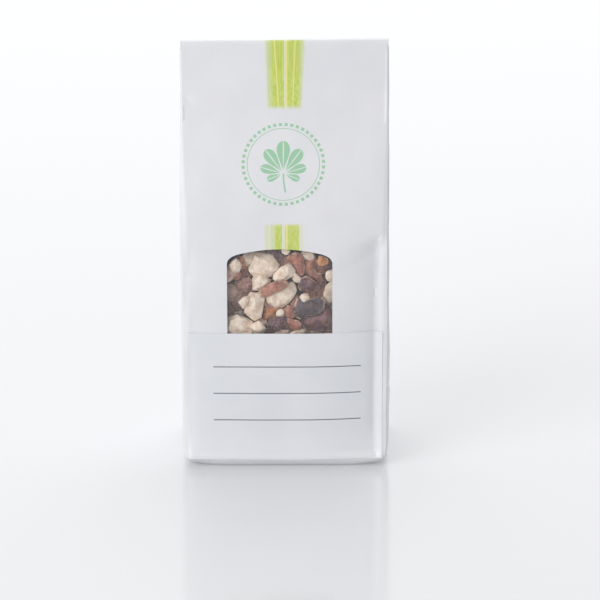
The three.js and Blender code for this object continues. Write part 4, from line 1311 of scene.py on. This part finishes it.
def crumb_shape(name, flat, seed):
    """A small angular crumb a few millimetres across, of a few dozen faces."""
    bm = bmesh.new()
    points = np.random.default_rng(seed).normal(size=(16, 3))
    points /= np.linalg.norm(points, axis=1, keepdims=True)
    for point in points * np.array([*CRUMB_SPAN, flat]) * MM:
        bm.verts.new(point)
    bmesh.ops.convex_hull(bm, input=bm.verts)
    bmesh.ops.bevel(bm, geom=bm.edges[:], offset=0.18 * MM, segments=1, affect="EDGES")
    crumb = finish_mesh(bm, name)
    crumb.data.shade_flat()
    return crumb


def crumb_tree(name, variants):
    """Crumbs scattered at random through a closed volume, each turned and sized by chance."""
    tree = bpy.data.node_groups.new(name, "GeometryNodeTree")
    for label, kind in CRUMB_INPUTS:
        tree.interface.new_socket(label, in_out="INPUT", socket_type=f"NodeSocket{kind}")
    tree.interface.new_socket("Crumbs", in_out="OUTPUT", socket_type="NodeSocketGeometry")
    entry = tree.nodes.new("NodeGroupInput").outputs
    fill = add_node(tree, "GeometryNodeMeshToVolume", {
        "Mesh": entry["Volume"], "Voxel Size": 1.0 * MM,
    }, resolution_mode="VOXEL_SIZE")
    scatter = add_node(tree, "GeometryNodeDistributePointsInVolume", {
        "Volume": fill.outputs[0], "Density": entry["Density"], "Seed": entry["Seed"],
    })
    gather = tree.nodes.new("GeometryNodeGeometryToInstance")
    for variant in variants:
        shape = add_node(tree, "GeometryNodeObjectInfo", {"Object": variant})
        feed(gather.inputs[0], shape.outputs["Geometry"])
    turn = add_node(tree, "FunctionNodeRandomValue", {
        "Max": (math.tau, math.tau, math.tau), "Seed": entry["Seed"],
    }, data_type="FLOAT_VECTOR")
    size = add_node(tree, "FunctionNodeRandomValue", {
        2: entry["Smallest"], 3: entry["Largest"], "Seed": entry["Seed"],
    })
    crumbs = add_node(tree, "GeometryNodeInstanceOnPoints", {
        "Points": scatter.outputs["Points"], "Instance": gather.outputs[0], "Pick Instance": True,
        "Rotation": turn.outputs["Value"], "Scale": size.outputs[1],
    })
    realize = add_node(tree, "GeometryNodeRealizeInstances", {0: crumbs.outputs["Instances"]})
    add_node(tree, "NodeGroupOutput", {0: realize.outputs[0]})
    return tree


def crumb_volume(name):
    """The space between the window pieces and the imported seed, as closed blocks."""
    bm = bmesh.new()
    for left, right, near, far in CRUMB_BLOCKS:
        low, high = (Vector(corner) * MM for corner in zip((left, right), (near, far), CRUMB_HEIGHTS))
        block = bmesh.ops.create_cube(bm, size=1)["verts"]
        bmesh.ops.scale(bm, vec=high - low, verts=block)
        bmesh.ops.translate(bm, vec=(high + low) / 2, verts=block)
    return finish_mesh(bm, name)


class PACKET_OT_packed_seed(Operator):
    """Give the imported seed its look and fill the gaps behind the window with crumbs"""

    bl_idname = "packet.packed_seed"
    bl_label = "Packed seed and crumbs"

    def execute(self, context):
        settings = context.scene.packet_seed
        place(self.packed_mass(), "kernel", self.packed_look(), "packed_seed")
        for number, (name, look, slot, flats, share) in enumerate(CRUMB_KINDS):
            variants = [
                crumb_shape(f"{name}_{i}", flat, number * 10 + i) for i, flat in enumerate(flats)
            ]
            tree = crumb_tree(name, variants)
            piece = crumb_volume(name)
            modifier = piece.modifiers.new("Crumbs", "NODES")
            modifier.node_group = tree
            values = {
                "Density": settings.crumbs / CM**3 * share, "Seed": settings.crumb_seed + number,
                "Smallest": CRUMB_SCALES[0], "Largest": CRUMB_SCALES[1],
            }
            for socket in tree.interface.items_tree:
                if socket.name in values:
                    modifier[socket.identifier] = values[socket.name]
            apply_modifiers(piece)
            for variant in variants:
                bpy.data.objects.remove(variant)
            mark_breaks_and_painted_light(piece, np.zeros(len(piece.data.vertices)), skin=False)
            place(piece, slot, seed_look(look))
        return {"FINISHED"}

    def packed_mass(self):
        """The seed deep in the bag as one knobbly mass, drawn in clear of the paper."""
        mass, _ = broken_piece("packed_seed", **PACKED_BREAK)
        mesh = mass.data
        for vertex, normal in zip(mesh.vertices, [n.vector.copy() for n in mesh.vertex_normals]):
            near = noise.voronoi(vertex.co / (PACKED_KNOB * MM))[0][0]
            vertex.co -= normal * (PACKED_INSET[0] + PACKED_INSET[1] * near) * MM
        mesh.update()
        return mass

    def packed_look(self):
        """Chopped seed seen deep in the packet: cells of dark skin with some of pale kernel."""
        finish = Finish("packed seed")
        chance, _, _ = finish.channels(finish.scattered(PACKED_KNOB, "Color"))
        colour = finish.mix(chance.fade(0.7, 0.72), srgb(70, 46, 44), srgb(206, 184, 152))
        cloud = finish.noise(2.5, detail=5).fade(0.3, 0.7)
        edge = finish.cells(PACKED_KNOB) * -1.0 + finish.noise(1.4, detail=4) * 0.4
        return finish.shade(
            Base_Color=finish.mix(cloud * 0.4, colour, srgb(120, 80, 66)), Roughness=0.75,
            Normal=finish.bump(edge, 1.6, 0.9),
        )


class PACKET_OT_stage(Operator):
    """Set the pale floor, the soft studio light and the camera at the photograph's angle"""

    bl_idname = "packet.stage"
    bl_label = "Stage"

    def execute(self, context):
        settings = context.scene.packet_stage
        self.floor(settings)
        self.light(context, "Soft box", settings.light_power, **SOFT_BOX)
        self.light(context, "Back soft box", settings.back_power, **BACK_SOFT_BOX)
        self.sky(context, settings)
        context.scene.view_settings.view_transform = "Standard"
        self.camera(context, settings)
        return {"FINISHED"}

    def floor(self, settings):
        """A wide glossy floor, just under the packet."""
        bm = bmesh.new()
        bmesh.ops.create_grid(bm, x_segments=1, y_segments=1, size=6)
        bmesh.ops.translate(bm, vec=(0, 3, -0.00002), verts=bm.verts)
        floor = finish_mesh(bm, "floor")
        finish = Finish("glossy white floor")
        cloud = finish.noise(400, detail=2).fade(0.3, 0.7) * 0.02 + 0.1
        floor.data.materials.append(finish.shade(
            Base_Color=settings.floor_colour, Roughness=cloud, Specular_IOR_Level=0.5, IOR=1.58,
            Emission_Color=(0.98, 0.99, 1.0), Emission_Strength=settings.floor_light,
        ))

    def sky(self, context, settings):
        """Even soft light all round, brighter low down behind the packet, as in a lit white cove."""
        world = bpy.data.worlds.new("Studio")
        world.use_nodes = True
        tree = world.node_tree
        direction = add_node(tree, "ShaderNodeTexCoord").outputs["Generated"]
        split = add_node(tree, "ShaderNodeSeparateXYZ", {0: direction})
        away, height = (Value(split.outputs[axis]) for axis in "YZ")
        cove = away.fade(-0.3, 0.6) * height.fade(0.8, 0.35)
        back = tree.nodes["Background"]
        feed(back.inputs["Color"], (0.985, 0.99, 1.0))
        brighter = settings.cove_light - settings.room_light
        feed(back.inputs["Strength"], cove * brighter + settings.room_light)
        context.scene.world = world

    def light(self, context, name, power, spot, size, aim):
        """A square soft box at a spot, turned to what it is aimed at."""
        data = bpy.data.lights.new(name, "AREA")
        data.size = size
        data.energy = power
        lamp = bpy.data.objects.new(name, data)
        context.scene.collection.objects.link(lamp)
        lamp.location = spot
        lamp.rotation_euler = (Vector(aim) - Vector(spot)).to_track_quat("-Z", "Y").to_euler()

    def camera(self, context, settings):
        """Looks along +Y from a little above, framed so that the packet falls as in the photograph."""
        data = bpy.data.cameras.new("Camera")
        camera = bpy.data.objects.new("Camera", data)
        context.scene.collection.objects.link(camera)
        tilt = settings.elevation
        back = Vector((0, -math.cos(tilt), math.sin(tilt)))
        spot = Matrix.Translation(Vector(CAMERA_TARGET) * MM + back * settings.distance)
        toward = (-back).to_track_quat("-Z", "Y").to_matrix().to_4x4()
        camera.matrix_world = spot @ toward @ Matrix.Rotation(math.radians(CAMERA_ROLL), 4, "Z")
        data.sensor_width = SENSOR_WIDTH
        data.lens = SENSOR_WIDTH * settings.distance / settings.frame_width
        data.clip_end = 50
        context.scene.camera = camera


class PACKET_PT_sidebar(Panel):
    """Lists the packet's settings and pieces."""

    bl_idname = "PACKET_PT_sidebar"
    bl_label = "Chopped Conker Packet"
    bl_space_type = "VIEW_3D"
    bl_region_type = "UI"
    bl_category = "Packet"

    def draw(self, context):
        layout = self.layout
        for group in ("packet_paper", "packet_seed", "packet_stage"):
            settings = getattr(context.scene, group)
            box = layout.box()
            for name in settings.__annotations__:
                box.prop(settings, name)
        for operator in OPERATORS:
            layout.operator(operator.bl_idname)


OPERATORS = (
    PACKET_OT_stage, PACKET_OT_paper_bag, PACKET_OT_fold_plies, PACKET_OT_base_flaps,
    PACKET_OT_window_film, PACKET_OT_front_label, PACKET_OT_kernels, PACKET_OT_skins,
    PACKET_OT_packed_seed,
)
SETTINGS = {
    "packet_paper": PACKET_PaperSettings,
    "packet_seed": PACKET_SeedSettings,
    "packet_stage": PACKET_StageSettings,
}


def register():
    for cls in (*SETTINGS.values(), *OPERATORS, PACKET_PT_sidebar):
        bpy.utils.register_class(cls)
    for name, cls in SETTINGS.items():
        setattr(bpy.types.Scene, name, PointerProperty(type=cls))


def unregister():
    for name in SETTINGS:
        delattr(bpy.types.Scene, name)
    for cls in reversed((*SETTINGS.values(), *OPERATORS, PACKET_PT_sidebar)):
        bpy.utils.unregister_class(cls)


def main():
    register()
    for operator in OPERATORS:
        group, name = operator.bl_idname.split(".")
        getattr(getattr(bpy.ops, group), name)()


if __name__ == "__main__":
    main()
